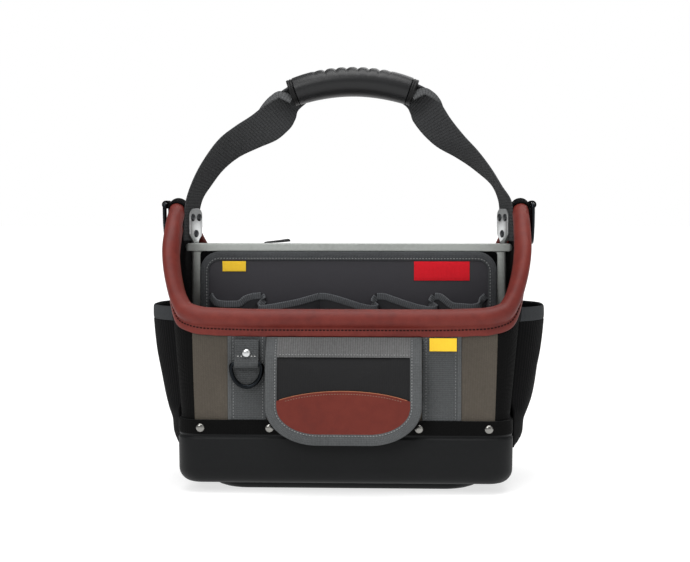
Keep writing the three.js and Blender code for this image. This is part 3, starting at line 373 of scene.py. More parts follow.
def stitching(name, rows, material, slot, pitch=3.2, share=0.66, thick=0.42, **rest):
    """Rows of thread, one capsule a stitch. Each row is a line of points and the directions that stand
    out from the cloth there. A capsule is three rings of six points between two poles."""
    ring = np.radians(np.arange(0, 360, 60))
    template = [(-1, 0, 0)]
    for along, wide in ((-0.72, 0.7), (0, 1), (0.72, 0.7)):
        template += [(along, wide * math.cos(a), wide * math.sin(a)) for a in ring]
    template = np.array(template + [(1, 0, 0)])
    faces = [[0, 1 + (k + 1) % 6, 1 + k] for k in range(6)]
    for level in (0, 6):
        faces += [[1 + level + k, 1 + level + (k + 1) % 6, 7 + level + (k + 1) % 6, 7 + level + k]
                  for k in range(6)]
    faces += [[19, 13 + k, 13 + (k + 1) % 6] for k in range(6)]
    points = []
    for line, out in rows:
        total = np.linalg.norm(np.diff(line, axis=0), axis=1).sum()
        count = max(2, int(total / pitch))
        both = evenly(np.concatenate([line, out], 1), 4 * count + 1)
        centre, up = both[2::4, :3], unit(both[2::4, 3:])
        forward = tangents(both[:, :3])[2::4]
        beside = np.cross(up, forward)
        half = total / count * share / 2
        a, b, c = template.T
        points.append(
            centre[:, None]
            + (half * a)[None, :, None] * forward[:, None]
            + (thick * b)[None, :, None] * beside[:, None]
            + (thick * 0.8 * c + thick * 0.25)[None, :, None] * up[:, None]
        )
    points = np.concatenate(points)
    numbers = (np.arange(len(points)) * len(template)).tolist()
    all_faces = [[n + k for k in face] for n in numbers for face in faces]
    return piece(name, points, all_faces, material, slot, **rest)


# Materials

def colour(text, alpha=1):
    """Linear values of an sRGB colour written as six hex digits."""
    values = [int(text[k:k + 2], 16) / 255 for k in (0, 2, 4)]
    return [v / 12.92 if v <= 0.04045 else ((v + 0.055) / 1.055) ** 2.4 for v in values] + [alpha]


def toned(shade, share):
    """A colour made lighter or darker."""
    return [min(1, v * share) for v in shade[:3]] + [1]


class Nodes:
    """A node tree with short calls that add a node and join its inputs."""

    def __init__(self, tree):
        self.tree = tree

    def add(self, kind, values=(), **settings):
        node = self.tree.nodes.new(kind)
        for key, value in settings.items():
            setattr(node, key, value)
        for key, value in dict(values).items():
            self.give(node.inputs[key], value)
        return node

    def give(self, socket, value):
        if isinstance(value, bpy.types.NodeSocket):
            self.tree.links.new(value, socket)
        else:
            socket.default_value = value

    def math(self, operation, a, b=None, c=None):
        node = self.add("ShaderNodeMath", {}, operation=operation)
        for socket, value in zip(node.inputs, (a, b, c)):
            if value is not None:
                self.give(socket, value)
        return node.outputs[0]

    def ramp(self, value, stops):
        """A colour ramp through (place, colour) stops."""
        node = self.add("ShaderNodeValToRGB", {"Fac": value})
        elements = node.color_ramp.elements
        while len(elements) < len(stops):
            elements.new(0.5)
        for element, (place, shade) in zip(elements, stops):
            element.position = place
            element.color = shade
        return node.outputs["Color"]

    def blend(self, factor, a, b, kind="MIX"):
        node = self.add("ShaderNodeMix", {}, data_type="RGBA", blend_type=kind)
        for index, value in ((0, factor), (6, a), (7, b)):
            self.give(node.inputs[index], value)
        return node.outputs[2]

    def range(self, value, low, high):
        return self.add("ShaderNodeMapRange", {"Value": value, "To Min": low, "To Max": high}).outputs[0]


def group(name, inputs, outputs):
    """A shader node group with named inputs, each a kind and a first value, and outputs."""
    tree = bpy.data.node_groups.new(name, "ShaderNodeTree")
    for label, (kind, value) in inputs.items():
        socket = tree.interface.new_socket(label, in_out="INPUT", socket_type=kind)
        if value is not None:
            socket.default_value = value
    for label, kind in outputs.items():
        tree.interface.new_socket(label, in_out="OUTPUT", socket_type=kind)
    nodes = Nodes(tree)
    return tree, nodes, nodes.add("NodeGroupInput").outputs, nodes.add("NodeGroupOutput").inputs


FLOAT, VECTOR = "NodeSocketFloat", "NodeSocketVector"


def weave_group():
    """Threads that cross over and under: two rows of rounded threads, of which a checker of cells
    decides the upper one. Gives the height, and the dark gaps between the threads."""
    tree, n, given, out = group(
        "weave",
        {"Cloth": (VECTOR, None), "Along": (FLOAT, 0.001), "Across": (FLOAT, 0.001), "Rib": (FLOAT, 0.5)},
        {"Height": FLOAT, "Gaps": FLOAT},
    )
    parts = n.add("ShaderNodeSeparateXYZ", {0: given["Cloth"]}).outputs
    u = n.math("DIVIDE", parts[0], given["Along"])
    v = n.math("DIVIDE", parts[1], given["Across"])
    ribs = [n.math("ABSOLUTE", n.math("SINE", n.math("MULTIPLY", w, math.pi))) for w in (u, v)]
    cells = n.math("ADD", n.math("FLOOR", u), n.math("FLOOR", v))
    checker = n.math("FRACT", n.math("MULTIPLY", cells, 0.5))
    over = n.math("MULTIPLY", checker, 2.0)
    upper = n.math("MULTIPLY", over, ribs[1])
    lower = n.math("MULTIPLY", n.math("SUBTRACT", 1.0, over), ribs[0])
    woven = n.math("ADD", upper, lower)
    height = n.math("ADD", n.math("MULTIPLY", woven, n.math("SUBTRACT", 1.0, given["Rib"])),
                    n.math("MULTIPLY", ribs[0], given["Rib"]))
    n.give(out["Height"], height)
    n.give(out["Gaps"], n.math("POWER", n.math("SUBTRACT", 1.0, height), 3.0))
    return tree


def mottle_group():
    """Uneven tone: coarse and fine noise added up, about a middle of one half."""
    tree, n, given, out = group(
        "mottle", {"Place": (VECTOR, None), "Coarse": (FLOAT, 12.0), "Fine": (FLOAT, 160.0)}, {"Tone": FLOAT}
    )
    coarse, fine = (
        n.add("ShaderNodeTexNoise", {"Vector": given["Place"], "Scale": given[k], "Detail": 3.0}).outputs[0]
        for k in ("Coarse", "Fine")
    )
    n.give(out["Tone"], n.math("ADD", n.math("MULTIPLY", coarse, 0.6), n.math("MULTIPLY", fine, 0.4)))
    return tree


def grain_group():
    """Leather grain: cells of two sizes whose edges are creases."""
    tree, n, given, out = group(
        "grain", {"Place": (VECTOR, None), "Cells": (FLOAT, 900.0)}, {"Height": FLOAT, "Creases": FLOAT}
    )
    warp = n.add("ShaderNodeTexNoise", {"Vector": given["Place"], "Scale": 260.0}).outputs["Color"]
    moved = n.add("ShaderNodeVectorMath", {0: warp, 3: 0.0012}, operation="SCALE").outputs[0]
    place = n.add("ShaderNodeVectorMath", {0: given["Place"], 1: moved}, operation="ADD").outputs[0]
    cells = n.add("ShaderNodeTexVoronoi", {"Vector": place, "Scale": given["Cells"]},
                  feature="DISTANCE_TO_EDGE").outputs["Distance"]
    broad = n.add("ShaderNodeTexNoise", {"Vector": given["Place"], "Scale": 90.0, "Detail": 4.0}).outputs[0]
    height = n.math("MINIMUM", n.math("MULTIPLY", cells, 4.0), 1.0)
    n.give(out["Height"], n.math("ADD", n.math("MULTIPLY", height, 0.6), n.math("MULTIPLY", broad, 0.4)))
    n.give(out["Creases"], n.math("SUBTRACT", 1.0, height))
    return tree


GROUPS = {"weave": weave_group(), "mottle": mottle_group(), "grain": grain_group()}


def material_tree(name, roughness, metallic=0.0, coat=0.0, sheen=0.0, specular=0.5):
    """A material whose tree holds a Principled shader with its plain numbers set on its sockets."""
    made = bpy.data.materials.new(name)
    made.use_nodes = True
    tree = made.node_tree
    tree.nodes.clear()
    n = Nodes(tree)
    shader = n.add("ShaderNodeBsdfPrincipled", {"Roughness": roughness, "Metallic": metallic})
    shader.inputs["Specular IOR Level"].default_value = specular
    shader.inputs["Coat Weight"].default_value = coat
    shader.inputs["Sheen Weight"].default_value = sheen
    shader.inputs["Sheen Roughness"].default_value = 0.5
    output = n.add("ShaderNodeOutputMaterial")
    tree.links.new(shader.outputs[0], output.inputs["Surface"])
    places = n.add("ShaderNodeTexCoord").outputs
    return made, n, shader, places


def use(n, name, **values):
    """Places a shared node group in a material."""
    node = n.add("ShaderNodeGroup", {}, node_tree=GROUPS[name])
    for key, value in values.items():
        n.give(node.inputs[key], value)
    return node.outputs


def cloth_material(name, shade, along, across, rib=0.5, depth=0.5, contrast=0.25, lift=1.25, gaps=0.45,
                   roughness=0.85, sheen=0.0, specular=0.15):
    """Woven cloth on a piece's own cloth coordinates: threads, dark gaps and uneven dye."""
    made, n, shader, places = material_tree(name, roughness, sheen=sheen, specular=specular)
    woven = use(n, "weave", Cloth=places["UV"], Along=along * MM, Across=across * MM, Rib=rib)
    tone = use(n, "mottle", Place=places["Object"], Coarse=9.0, Fine=420.0)["Tone"]
    base = colour(shade)
    dyed = n.ramp(tone, [(0.3, toned(base, 1 - contrast)), (0.52, base), (0.75, toned(base, lift))])
    factor = n.math("MULTIPLY", woven["Gaps"], gaps)
    n.give(shader.inputs["Base Color"], n.blend(factor, dyed, toned(base, 0.3)))
    n.give(shader.inputs["Roughness"], n.range(tone, roughness - 0.1, min(1, roughness + 0.1)))
    bump = n.add("ShaderNodeBump", {"Height": woven["Height"], "Strength": depth, "Distance": 0.25 * MM})
    n.give(shader.inputs["Normal"], bump.outputs[0])
    return made


def leather_material(name, shade, dark, light):
    """Grained leather: creases darker than the cells, rubbed lighter in broad patches."""
    made, n, shader, places = material_tree(name, 0.5, specular=0.3)
    grain = use(n, "grain", Place=places["Object"], Cells=820.0)
    tone = use(n, "mottle", Place=places["Object"], Coarse=14.0, Fine=120.0)["Tone"]
    dyed = n.ramp(tone, [(0.32, colour(dark)), (0.5, colour(shade)), (0.72, colour(light))])
    creased = n.blend(n.math("MULTIPLY", grain["Creases"], 0.35), dyed, colour(dark))
    n.give(shader.inputs["Base Color"], creased)
    n.give(shader.inputs["Roughness"], n.range(tone, 0.42, 0.62))
    bump = n.add("ShaderNodeBump", {"Height": grain["Height"], "Strength": 0.22, "Distance": 0.2 * MM})
    n.give(shader.inputs["Normal"], bump.outputs[0])
    return made


def moulded_material(name, shade, roughness, grain_size=0.9, strength=0.18, lift=1.35, specular=0.25):
    """Moulded plastic or rubber: a fine pebbled skin with faint scuffs."""
    made, n, shader, places = material_tree(name, roughness, specular=specular)
    pebbles = n.add("ShaderNodeTexVoronoi", {"Vector": places["Object"], "Scale": 1 / (grain_size * MM)},
                    feature="SMOOTH_F1").outputs["Distance"]
    tone = use(n, "mottle", Place=places["Object"], Coarse=16.0, Fine=240.0)["Tone"]
    base = colour(shade)
    shades = [(0.3, toned(base, 0.8)), (0.5, base), (0.8, toned(base, lift))]
    n.give(shader.inputs["Base Color"], n.ramp(tone, shades))
    n.give(shader.inputs["Roughness"], n.range(tone, roughness - 0.08, roughness + 0.12))
    bump = n.add("ShaderNodeBump", {"Height": pebbles, "Strength": strength, "Distance": 0.15 * MM})
    n.give(shader.inputs["Normal"], bump.outputs[0])
    return made


def metal_material(name, shade, roughness, brushed=0.0, metallic=1.0):
    """Metal with faint smudges, and where brushed, fine scratches along X."""
    made, n, shader, places = material_tree(name, roughness, metallic=metallic)
    tone = use(n, "mottle", Place=places["Object"], Coarse=30.0, Fine=300.0)["Tone"]
    base = colour(shade)
    n.give(shader.inputs["Base Color"], n.ramp(tone, [(0.3, toned(base, 0.82)), (0.55, base)]))
    n.give(shader.inputs["Roughness"], n.range(tone, max(0.03, roughness - 0.06), roughness + 0.08))
    if brushed:
        drawn = n.add("ShaderNodeMapping", {"Vector": places["Object"], "Scale": (12, 900, 900)}).outputs[0]
        scratches = n.add("ShaderNodeTexNoise", {"Vector": drawn, "Scale": 1.5, "Detail": 4.0}).outputs[0]
        bump = n.add("ShaderNodeBump", {"Height": scratches, "Strength": brushed, "Distance": 0.05 * MM})
        n.give(shader.inputs["Normal"], bump.outputs[0])
    return made


CANVAS = cloth_material("tan_canvas", "565048", 1.6, 1.1, rib=0.2, depth=0.8, contrast=0.18, gaps=0.6)
BLACK_CLOTH = cloth_material("black_cloth", "080809", 2.4, 1.6, rib=0.3, depth=1.0, lift=1.6, specular=0.05)
CORNER_WEB = cloth_material("corner_web", "090909", 4.5, 2.2, rib=0.55, depth=1.5, lift=1.6, specular=0.1)
MESH_CLOTH = cloth_material("mesh_cloth", "070708", 3.4, 1.6, rib=0.7, depth=1.5, lift=2.0, specular=0.1)
GREY_WEB = cloth_material("grey_web", "525455", 1.9, 1.5, rib=0.1, depth=1.2, contrast=0.3, gaps=0.9)
FLAP_WEB = cloth_material("flap_web", "646464", 2.2, 1.6, rib=0.5, depth=1.2, contrast=0.3, gaps=0.9)
STRAP_WEB = cloth_material("strap_web", "404142", 3.2, 2.2, rib=0.35, depth=1.6, contrast=0.25, gaps=0.9)
# A lighter copy of the strap webbing: painted highlight on the top of the fold by the grip.
FOLD_WEB_PAINTED_HIGHLIGHT = cloth_material("fold_web_painted_highlight", "575859", 3.2, 2.2, rib=0.35, depth=1.6, contrast=0.25, gaps=0.9)
TAPE = cloth_material("tape", "585A5B", 1.5, 1.9, rib=0.2, depth=1.0, contrast=0.28, gaps=0.8)
BOARD_TAPE_CLOTH = cloth_material("board_tape_cloth", "4A4C4E", 1.5, 1.9, rib=0.2, depth=1.0, contrast=0.28,
                                  gaps=0.8)
# Darker than the other grey tapes: painted shade on the side pocket hems.
HEM_TAPE = cloth_material("hem_tape", "393B3D", 1.9, 6.6, rib=0.8, depth=1.2, contrast=0.2, gaps=0.8)
POCKET_HEM_TAPE = cloth_material("pocket_hem_tape", "585A5D", 2.0, 16, rib=0.9, depth=1.4, gaps=0.9)
BOARD_CLOTH = cloth_material("board_cloth", "302F34", 0.8, 0.8, depth=0.2, contrast=0.08, lift=1.1,
                             gaps=0.15, roughness=0.5, specular=0.35)
POCKET_CLOTH = cloth_material("pocket_cloth", "242427", 0.9, 0.9, depth=0.35, contrast=0.12, roughness=0.6,
                              specular=0.3)
FLAP_CLOTH = cloth_material("flap_cloth", "1F1F20", 1.6, 6.0, rib=0.8, depth=0.5, contrast=0.1,
                            roughness=0.7)
THREAD_LIGHT = cloth_material("thread_light", "A2A4A4", 0.6, 0.6, depth=0.3)
THREAD_WHITE = cloth_material("thread_white", "D6D6D4", 0.6, 0.6, depth=0.3)
THREAD_PALE = cloth_material("thread_pale", "A08070", 0.6, 0.6, depth=0.3)
THREAD_DARK = cloth_material("thread_dark", "341614", 0.6, 0.6, depth=0.3)
THREAD_RED = cloth_material("thread_red", "A86A4E", 0.6, 0.6, depth=0.3)
YELLOW = cloth_material("yellow_label", "FFD23C", 1.3, 0.9, depth=0.5, contrast=0.06, lift=1.02, gaps=0.2)
RED = cloth_material("red_label", "DC1F2C", 1.3, 0.9, depth=0.5, contrast=0.1, lift=1.06, gaps=0.25)
RIM_LEATHER = leather_material("rim_leather", "6C241C", "571A15", "7B2F25")
PATCH_LEATHER = leather_material("patch_leather", "662014", "5A1A10", "70281B")
MOULDED = moulded_material("moulded_tub", "121314", 0.5, specular=0.16)
BAND_CLOTH = cloth_material("band_cloth", "070707", 2.4, 1.6, rib=0.3, depth=0.8, lift=1.5, specular=0.1)
RUBBER = moulded_material("grip_rubber", "0D0E10", 0.4, grain_size=1.3, strength=0.3, specular=0.4)
LIP_RUBBER = moulded_material("lip_rubber", "070708", 0.5)
ALUMINIUM = metal_material("aluminium", "B0B4B0", 0.42, brushed=0.25, metallic=0.85)
CHROME = metal_material("chrome", "D6D8D8", 0.32)
RIVET_METAL = metal_material("rivet_metal", "8E8D89", 0.24)
BOLT_METAL = metal_material("bolt_metal", "4A4C4E", 0.3)
DARK_METAL = metal_material("dark_metal", "1E2124", 0.28)


# Tub

TUB_CORNER = 25
TUB_EDGE = 14
TUB_WALL = 2.7
TUB_FLOOR = 4
TUB_DRAFT = 0.5
BAND_HEIGHT = 16.5
BAND_STEP = 0.9
FOOT_HEIGHT = 9
FOOT_HALF_WIDTH = 132
FOOT_HALF_DEPTH = 70
RIVETS = range(1, 5)

# The foot's rounded lower edge: inset, height
FOOT_EDGE = [(11, 0.0), (9.4, 0.35), (4.6, 2.2), (1.5, 4.6), (0, 7.9)]


def add_tub():
    """The moulding from its foot up the outside, over its top edge and down the inside: rounded
    rectangles whose insets and heights follow the wall's section. A band of cloth lies in its step."""
    width, depth = TUB_HIGH[0], TUB_HIGH[1]
    low = TUB_TOP - BAND_HEIGHT
    inner = TUB_WALL + BAND_STEP
    floor = FOOT_HEIGHT + TUB_FLOOR
    rings = [rounded_ring(FOOT_HALF_WIDTH - inset, FOOT_HALF_DEPTH - inset / 2, TUB_CORNER, z)
             for inset, z in FOOT_EDGE]
    profile = [(TUB_EDGE * (1 - math.sin(t)) + TUB_DRAFT, FOOT_HEIGHT + TUB_EDGE * (1 - math.cos(t)))
               for t in np.radians(np.linspace(0, 90, 10))]
    profile += [
        (TUB_DRAFT * 0.5, 40),
        (0.05, low - 2.4),
        (0.3, low - 1.2),
        (1.5, low - 0.5),
        (1.75, low + 0.6),
        (BAND_STEP + 0.1, low + 1.4),
        (BAND_STEP, low + 2.4),
        (BAND_STEP, TUB_TOP - 1.1),
        (BAND_STEP + 0.35, TUB_TOP - 0.3),
        (BAND_STEP + 1.1, TUB_TOP),
        (inner - 0.8, TUB_TOP),
        (inner, TUB_TOP - 0.8),
        (inner, floor + 10),
        (inner + 3, floor + 3),
        (inner + 10, floor),
    ]
    rings += [rounded_ring(width - inset, depth - inset, TUB_CORNER - min(inset, 12), z)
              for inset, z in profile]
    surface("tub", np.stack(rings), MOULDED, "moulded_tub", stands_for=["base_tub"], sharp=50)
    band = [(0.85, low + 2.5), (0.3, low + 3), (0.15, low + 6), (0.15, TUB_TOP - 4), (0.3, TUB_TOP - 0.6),
            (0.85, TUB_TOP - 0.2), (1.3, TUB_TOP - 0.4), (1.3, low + 2.7)]
    rings = [rounded_ring(width - inset, depth - inset, TUB_CORNER, z, 24) for inset, z in band]
    surface("tub_band", np.stack(rings, 1), BAND_CLOTH, "black_cloth", join_rows=True)


def add_tub_rivets():
    """Domed heads on the tub's band, each where its node is."""
    for face, sign in (("front", -1), ("back", 1)):
        for number in RIVETS:
            node = f"{face}_rivet_{number}"
            low, high = node_box(node)
            middle = (low + high) / 2
            base = spot(middle[0], high[1] if sign < 0 else low[1], middle[2])
            points = dome_points(high[0] - low[0], high[1] - low[1], base, spot(0, sign, 0), spot(1, 0, 0))
            surface(node + "_head", points, RIVET_METAL, "rivet_metal", stands_for=[node])


# Walls

WALL_TOP = -8.4
LINING_TOP = -8.6
WALL_FULLNESS = 0.35
SEAM_GAP = 0.01

# Heights where a wall is cut across inside the tub, and shares of its rise from there to the rim
WALL_HEIGHTS = [WALL_FOOT, 50, TUB_TOP - 6, TUB_TOP]
WALL_SHARES = np.array([0.2, 0.34, 0.42, 0.5, 0.6, 0.7, 0.8, 0.9, 1])


def wall_shell(name, at, sign, material, slot, node):
    """One padded wall over places round the tote and the side that each is on: up its outside, over its
    top and down its inside, with the outside a little fuller between the tub and the rim, as a sine."""
    at, sign = at[:, None], np.broadcast_to(sign, at.shape)[:, None]
    rise = rim_point(at, WALL_TOP, 0.0)[..., 2] - TUB_TOP
    inside = np.broadcast_to(WALL_HEIGHTS, (len(at), len(WALL_HEIGHTS)))
    z = np.concatenate([inside, TUB_TOP + rise * WALL_SHARES[None]], 1)
    fuller = np.sin(np.clip((z - TUB_TOP) / rise, 0, 1) * math.pi) * WALL_FULLNESS
    outer = wall_at(at, z, WALL_HALF + fuller, sign)
    inner = wall_at(at, z, -WALL_HALF + LINING, sign)
    shell(name, outer, inner, material, slot, stands_for=[node])


def add_walls():
    """Four padded walls that meet at the upright seams, and a lining once round their inside."""
    seam = SEAM_PLACE
    across = np.linspace(-seam, seam, 121)
    at, sign = np.abs(across), np.where(across < 0, -1, 1)
    wall_shell("front_padding", at, sign, CANVAS, "tan_canvas", "front_wall")
    wall_shell("back_padding", 6 - at, sign, BLACK_CLOTH, "black_cloth", "back_wall")
    beside = np.linspace(seam + SEAM_GAP, 6 - seam - SEAM_GAP, 161)
    for name, sign in SIDES.items():
        wall_shell(f"side_padding_{name}", beside, sign, BLACK_CLOTH, "black_cloth", f"side_wall_{name}")
    at, sign = (a[:, None] for a in all_round(np.linspace(0, 6, 241)))
    top = rim_point(at, LINING_TOP, 0.0)[..., 2]
    z = mix(WALL_FOOT + 1, top, np.linspace(0, 1, 12)[None])
    outer = wall_at(at, z, -WALL_HALF + LINING - 0.1, sign)
    inner = wall_at(at, z, -WALL_HALF, sign)
    shell("inner_lining", outer, inner, BLACK_CLOTH, "black_cloth", join_rows=True)


CORNER_WEB_FOOT = TUB_TOP - 4
CORNER_WEB_TOP = 2.5 - FLANGE_DROP
CORNER_WEB_FACE = WALL_HALF + 0.52
CORNER_WEB_BACK = WALL_HALF + 0.05

# Where the webbing over each corner starts and ends round the wall
CORNER_WEBS = [("front", SEAM_PLACE, 1.9), ("back", 6 - SEAM_PLACE, 4.3)]


def add_corner_webbing():
    """Ribbed webbing over each upright corner, from the canvas seam to the edge of the side pocket."""
    for corner, first, last in CORNER_WEBS:
        at = np.linspace(first, last, 40)[:, None]
        top = rim_point(at, CORNER_WEB_TOP, 0.0)[..., 2]
        z = mix(CORNER_WEB_FOOT, top, np.linspace(0, 1, 24)[None])
        for name, sign in SIDES.items():
            outer, inner = (wall_at(at, z, face, sign) for face in (CORNER_WEB_FACE, CORNER_WEB_BACK))
            shell(f"corner_web_{corner}_{name}", outer, inner, CORNER_WEB, "black_cloth")


# Rim

ROLL_POINTS = 40
UNEVEN_BELOW = -12
RIM_STITCH_UP = -10.6
RIM_STITCH_OUT = 4.75
RIM_STITCH = {"pitch": 3.5, "share": 0.78, "thick": 0.75}

# Runs of places along the right half of the rim: start, end and how many, closest where it bends
RIM_RUNS = [(0, 0.9, 16), (0.93, 2.1, 70), (2.14, 3.96, 50), (4, 5, 70), (5.05, 6, 16)]

# A flange from the roll down its outside, round its edge and up the slot: up and out
RIM_FLANGE = np.array([
    (-9.3, 4.55),
    (-10.1, 4.6),
    (-11.4, 5.05),
    (-13.2, 5.2),
    (-15.4, 5.15),
    (-16.6, 4.9),
    (-FLANGE_DROP, 4.4),
    (-FLANGE_DROP, 3.6),
    (-16.7, SLOT_OUT),
    (-13, SLOT_OUT),
    (-8.4, SLOT_OUT),
])


def rim_section():
    """The leather's section as (up, out) about the middle line: most of a circle, then a flange on
    each side of the wall, with a slot between them."""
    turn = np.radians(np.linspace(-58, 238, ROLL_POINTS))
    arc = ROLL_RADIUS * np.stack([np.sin(turn), np.cos(turn)], 1)
    return np.concatenate([arc, RIM_FLANGE * [1, -1], RIM_FLANGE[::-1]])


def add_rim():
    """The section carried once round the rim, its flange edges a little uneven by a sum of sines, and a
    row of stitches on each flange."""
    at, sign = all_round(np.concatenate([np.linspace(*run) for run in RIM_RUNS]))
    section = rim_section()
    up, out = section[None, :, 0], section[None, :, 1]
    on_roll = np.arange(len(section))[None] < ROLL_POINTS
    scaled = np.where(on_roll, (roll_radius(at) / ROLL_RADIUS)[:, None], 1.0)
    run = np.interp(at, rim_places, rim_run)[:, None] * sign[:, None]
    uneven = 0.16 * np.sin(run / 11) * np.sin(run / 4.3 + 1) + 0.1 * np.sin(run / 2.7)
    raised = up * scaled + uneven * (up < UNEVEN_BELOW)
    points = rim_point(at[:, None], raised, out * scaled, sign[:, None])
    obj = surface("rim_leather", points, RIM_LEATHER, "rim_leather", join_rows=True,
                  stands_for=["rim_roll"], sharp=60)
    rows = []
    for way in (1, -1):
        line = rim_point(at, RIM_STITCH_UP, way * RIM_STITCH_OUT, sign)
        away = unit(rim_point(at, RIM_STITCH_UP, way * (RIM_STITCH_OUT + 1.25), sign) - line)
        rows.append((np.concatenate([line, line[:1]]), np.concatenate([away, away[:1]])))
    stitching("rim_stitches", rows, THREAD_DARK, "rim_leather", **RIM_STITCH)


# Ears and rings

CAP_HALF = 13
CAP_FROM, CAP_TO = math.radians(-36), math.radians(216)
CAP_SLACK = 0.6
CAP_THICKNESS = 1.2
RING_WIRE = 4.2
RING_CORNER = 3
LOOP_THICKNESS = 1.7
LOOP_HALF = 10
BORE = RING_WIRE / 2 + 0.35

# Width and drop of each ring's middle line
SIDE_RING = (36, 38)
FRONT_RING = (30, 22)


def ring_line(width, drop, count=120):
    """A D-ring's middle line in its own plane: a straight bar, tight corners and half an oval."""
    reach = width / 2
    corner = np.radians(np.linspace(0, 90, 8))[:, None]
    bow = np.radians(np.linspace(0, 180, 60))[1:-1, None]
    right = RING_CORNER * np.hstack([np.sin(corner), np.cos(corner)]) + [reach - RING_CORNER, -RING_CORNER]
    under = np.hstack([reach * np.cos(bow), -RING_CORNER - (drop - RING_CORNER) * np.sin(bow)])
    left = right[::-1] * [-1, 1]
    line = np.concatenate([right, under, left, right[:1]])
    return evenly(line, count + 1)[:-1]


def add_ring(name, node, centre, across, out, size):
    """Round wire along the ring's line, which hangs from the middle of its bar. It rides on the body
    that has its node's name."""
    line = ring_line(*size)
    path = np.asarray(centre) + line[:, :1] * across + line[:, 1:] * spot(0, 0, 1)
    forward = tangents(path, joined=True)
    side = np.broadcast_to(out, path.shape)
    points = sweep(path, side, np.cross(forward, side), round_profile(RING_WIRE / 2, 18))
    surface(name, points, DARK_METAL, "ring_metal", join_rows=True, body=node, stands_for=[node])


def add_ears():
    """Webbing over the top of each ear, and the loop on its outside that carries a ring."""
    for name, sign in SIDES.items():
        y = np.linspace(-CAP_HALF, CAP_HALF, 30)
        front, back = RIM_HALF_DEPTH - RIM_FRONT_CORNER, RIM_HALF_DEPTH - RIM_BACK_CORNER
        at = 3 + np.where(y < 0, y / front, y / back)
        turn = np.linspace(CAP_FROM, CAP_TO, 44)[None]
        inner = roll_radius(at)[:, None] + CAP_SLACK
        outer = inner + CAP_THICKNESS * (1 - 0.5 * (np.abs(y) / CAP_HALF) ** 12)[:, None]
        faces = [rim_point(at[:, None], radius * np.sin(turn), radius * np.cos(turn), sign)
                 for radius in (outer, inner)]
        shell(f"ear_webbing_{name}", *faces, BLACK_CLOTH, "black_cloth", stands_for=[f"ear_cap_{name}"])
        around = np.radians(np.linspace(0, 360, 33))[:-1]
        y = np.linspace(-LOOP_HALF, LOOP_HALF, 12)
        ring_low, ring_high = node_box(f"side_ring_{name}")
        centre = spot((ring_low[0] + ring_high[0]) / 2, 0, ring_high[2] - RING_WIRE / 2)
        tube = [centre + stack(radius * np.cos(around)[None], y[:, None], radius * np.sin(around)[None])
                for radius in (BORE + LOOP_THICKNESS, BORE)]
        surface(f"ear_loop_{name}", np.concatenate([tube[0], tube[1][::-1]]), CORNER_WEB, "black_cloth",
                join_rows=True)
        add_ring(f"side_ring_wire_{name}", f"side_ring_{name}", centre, spot(0, 1, 0), spot(1, 0, 0),
                 SIDE_RING)


# Frame

BAR_END = 3.4
LEG_WIDTH = 11
LEG_DEPTH = 16
LEG_EDGE = 2.2

# Middle of a leg from its foot: height, then how far from the middle of the tote
LEG_BENDS = [(TUB_TOP, 142.4), (120, 148.5)]
LEG_STRAIGHT = 166


def add_frame():
    """The aluminium bar, rounded at its ends and edges, on two legs that lean in towards the tub."""
    half, depth, height = BAR_HIGH[0], BAR_HIGH[1], BAR_HIGH[2] - BAR_LOW[2]
    middle = (BAR_HIGH[2] + BAR_LOW[2]) / 2
    turn = np.radians(np.linspace(0, 90, 9))
    reach = half - BAR_END * (1 - np.sin(turn))
    taper = BAR_END * (1 - np.cos(turn))
    x = np.concatenate([-reach[::-1], reach])
    profiles = np.stack([box_profile(2 * depth - 0.7 * t, height - 1.9 * t, 0.7, 6)
                         for t in np.concatenate([taper[::-1], taper])])
    path = stack(x, 0, middle)
    points = sweep(path, spot(0, 1, 0), spot(0, 0, 1), profiles)
    surface("top_bar", points, ALUMINIUM, "frame_metal", stands_for=["frame_top_bar"])
    for name, sign in SIDES.items():
        low, high = node_box(f"frame_leg_{name}")
        top = max(abs(low[0]), abs(high[0])) - LEG_WIDTH / 2
        heights, places = zip(*LEG_BENDS, (LEG_STRAIGHT, top))
        z = np.linspace(low[2], high[2], 40)
        path = stack(sign * np.interp(z, heights, places), 0, z)
        points = sweep(path, spot(1, 0, 0), spot(0, 1, 0), box_profile(LEG_WIDTH, LEG_DEPTH, LEG_EDGE, 6))
        surface(f"leg_{name}", points, ALUMINIUM, "frame_metal", stands_for=[f"frame_leg_{name}"])


# Divider

BOARD_CORNER = 20
BOARD_TAPE = 9.2
BOARD_HEART = (0, 120)
BOARD_CORE_INSET = 1.5
BOARD_STITCH = {"pitch": 3.1, "share": 0.6, "thick": 0.45}
BACKING_CORNER = 4
STITCHES_FROM = 150


def board_outline(inset, steps=14, corner=BOARD_CORNER):
    """The board's outline from its lower left, over the top to its lower right, moved inwards."""
    reach, top, corner = BOARD_HIGH[0] - inset, BAR_LOW[2] - inset, corner - inset
    turn = np.radians(np.linspace(180, 90, steps))
    left = np.stack([-reach + corner + corner * np.cos(turn), top - corner + corner * np.sin(turn)], 1)
    sides = np.linspace(BOARD_LOW[2], top - corner, 24)[:-1]
    rise = np.stack([np.full(len(sides), -reach), sides], 1)
    run = np.stack([np.linspace(-reach + corner, 0, 24)[1:], np.full(23, top)], 1)
    first = np.concatenate([rise, left, run])
    return np.concatenate([first, first[-2::-1] * [-1, 1]])


def board_layers(outline, layers):
    """An outline drawn in towards the board's heart by a share, once for each depth."""
    rings = [(mix(np.array(BOARD_HEART, float), outline, share), y) for share, y in layers]
    return np.stack([stack(ring[:, 0], y, ring[:, 1]) for ring, y in rings])


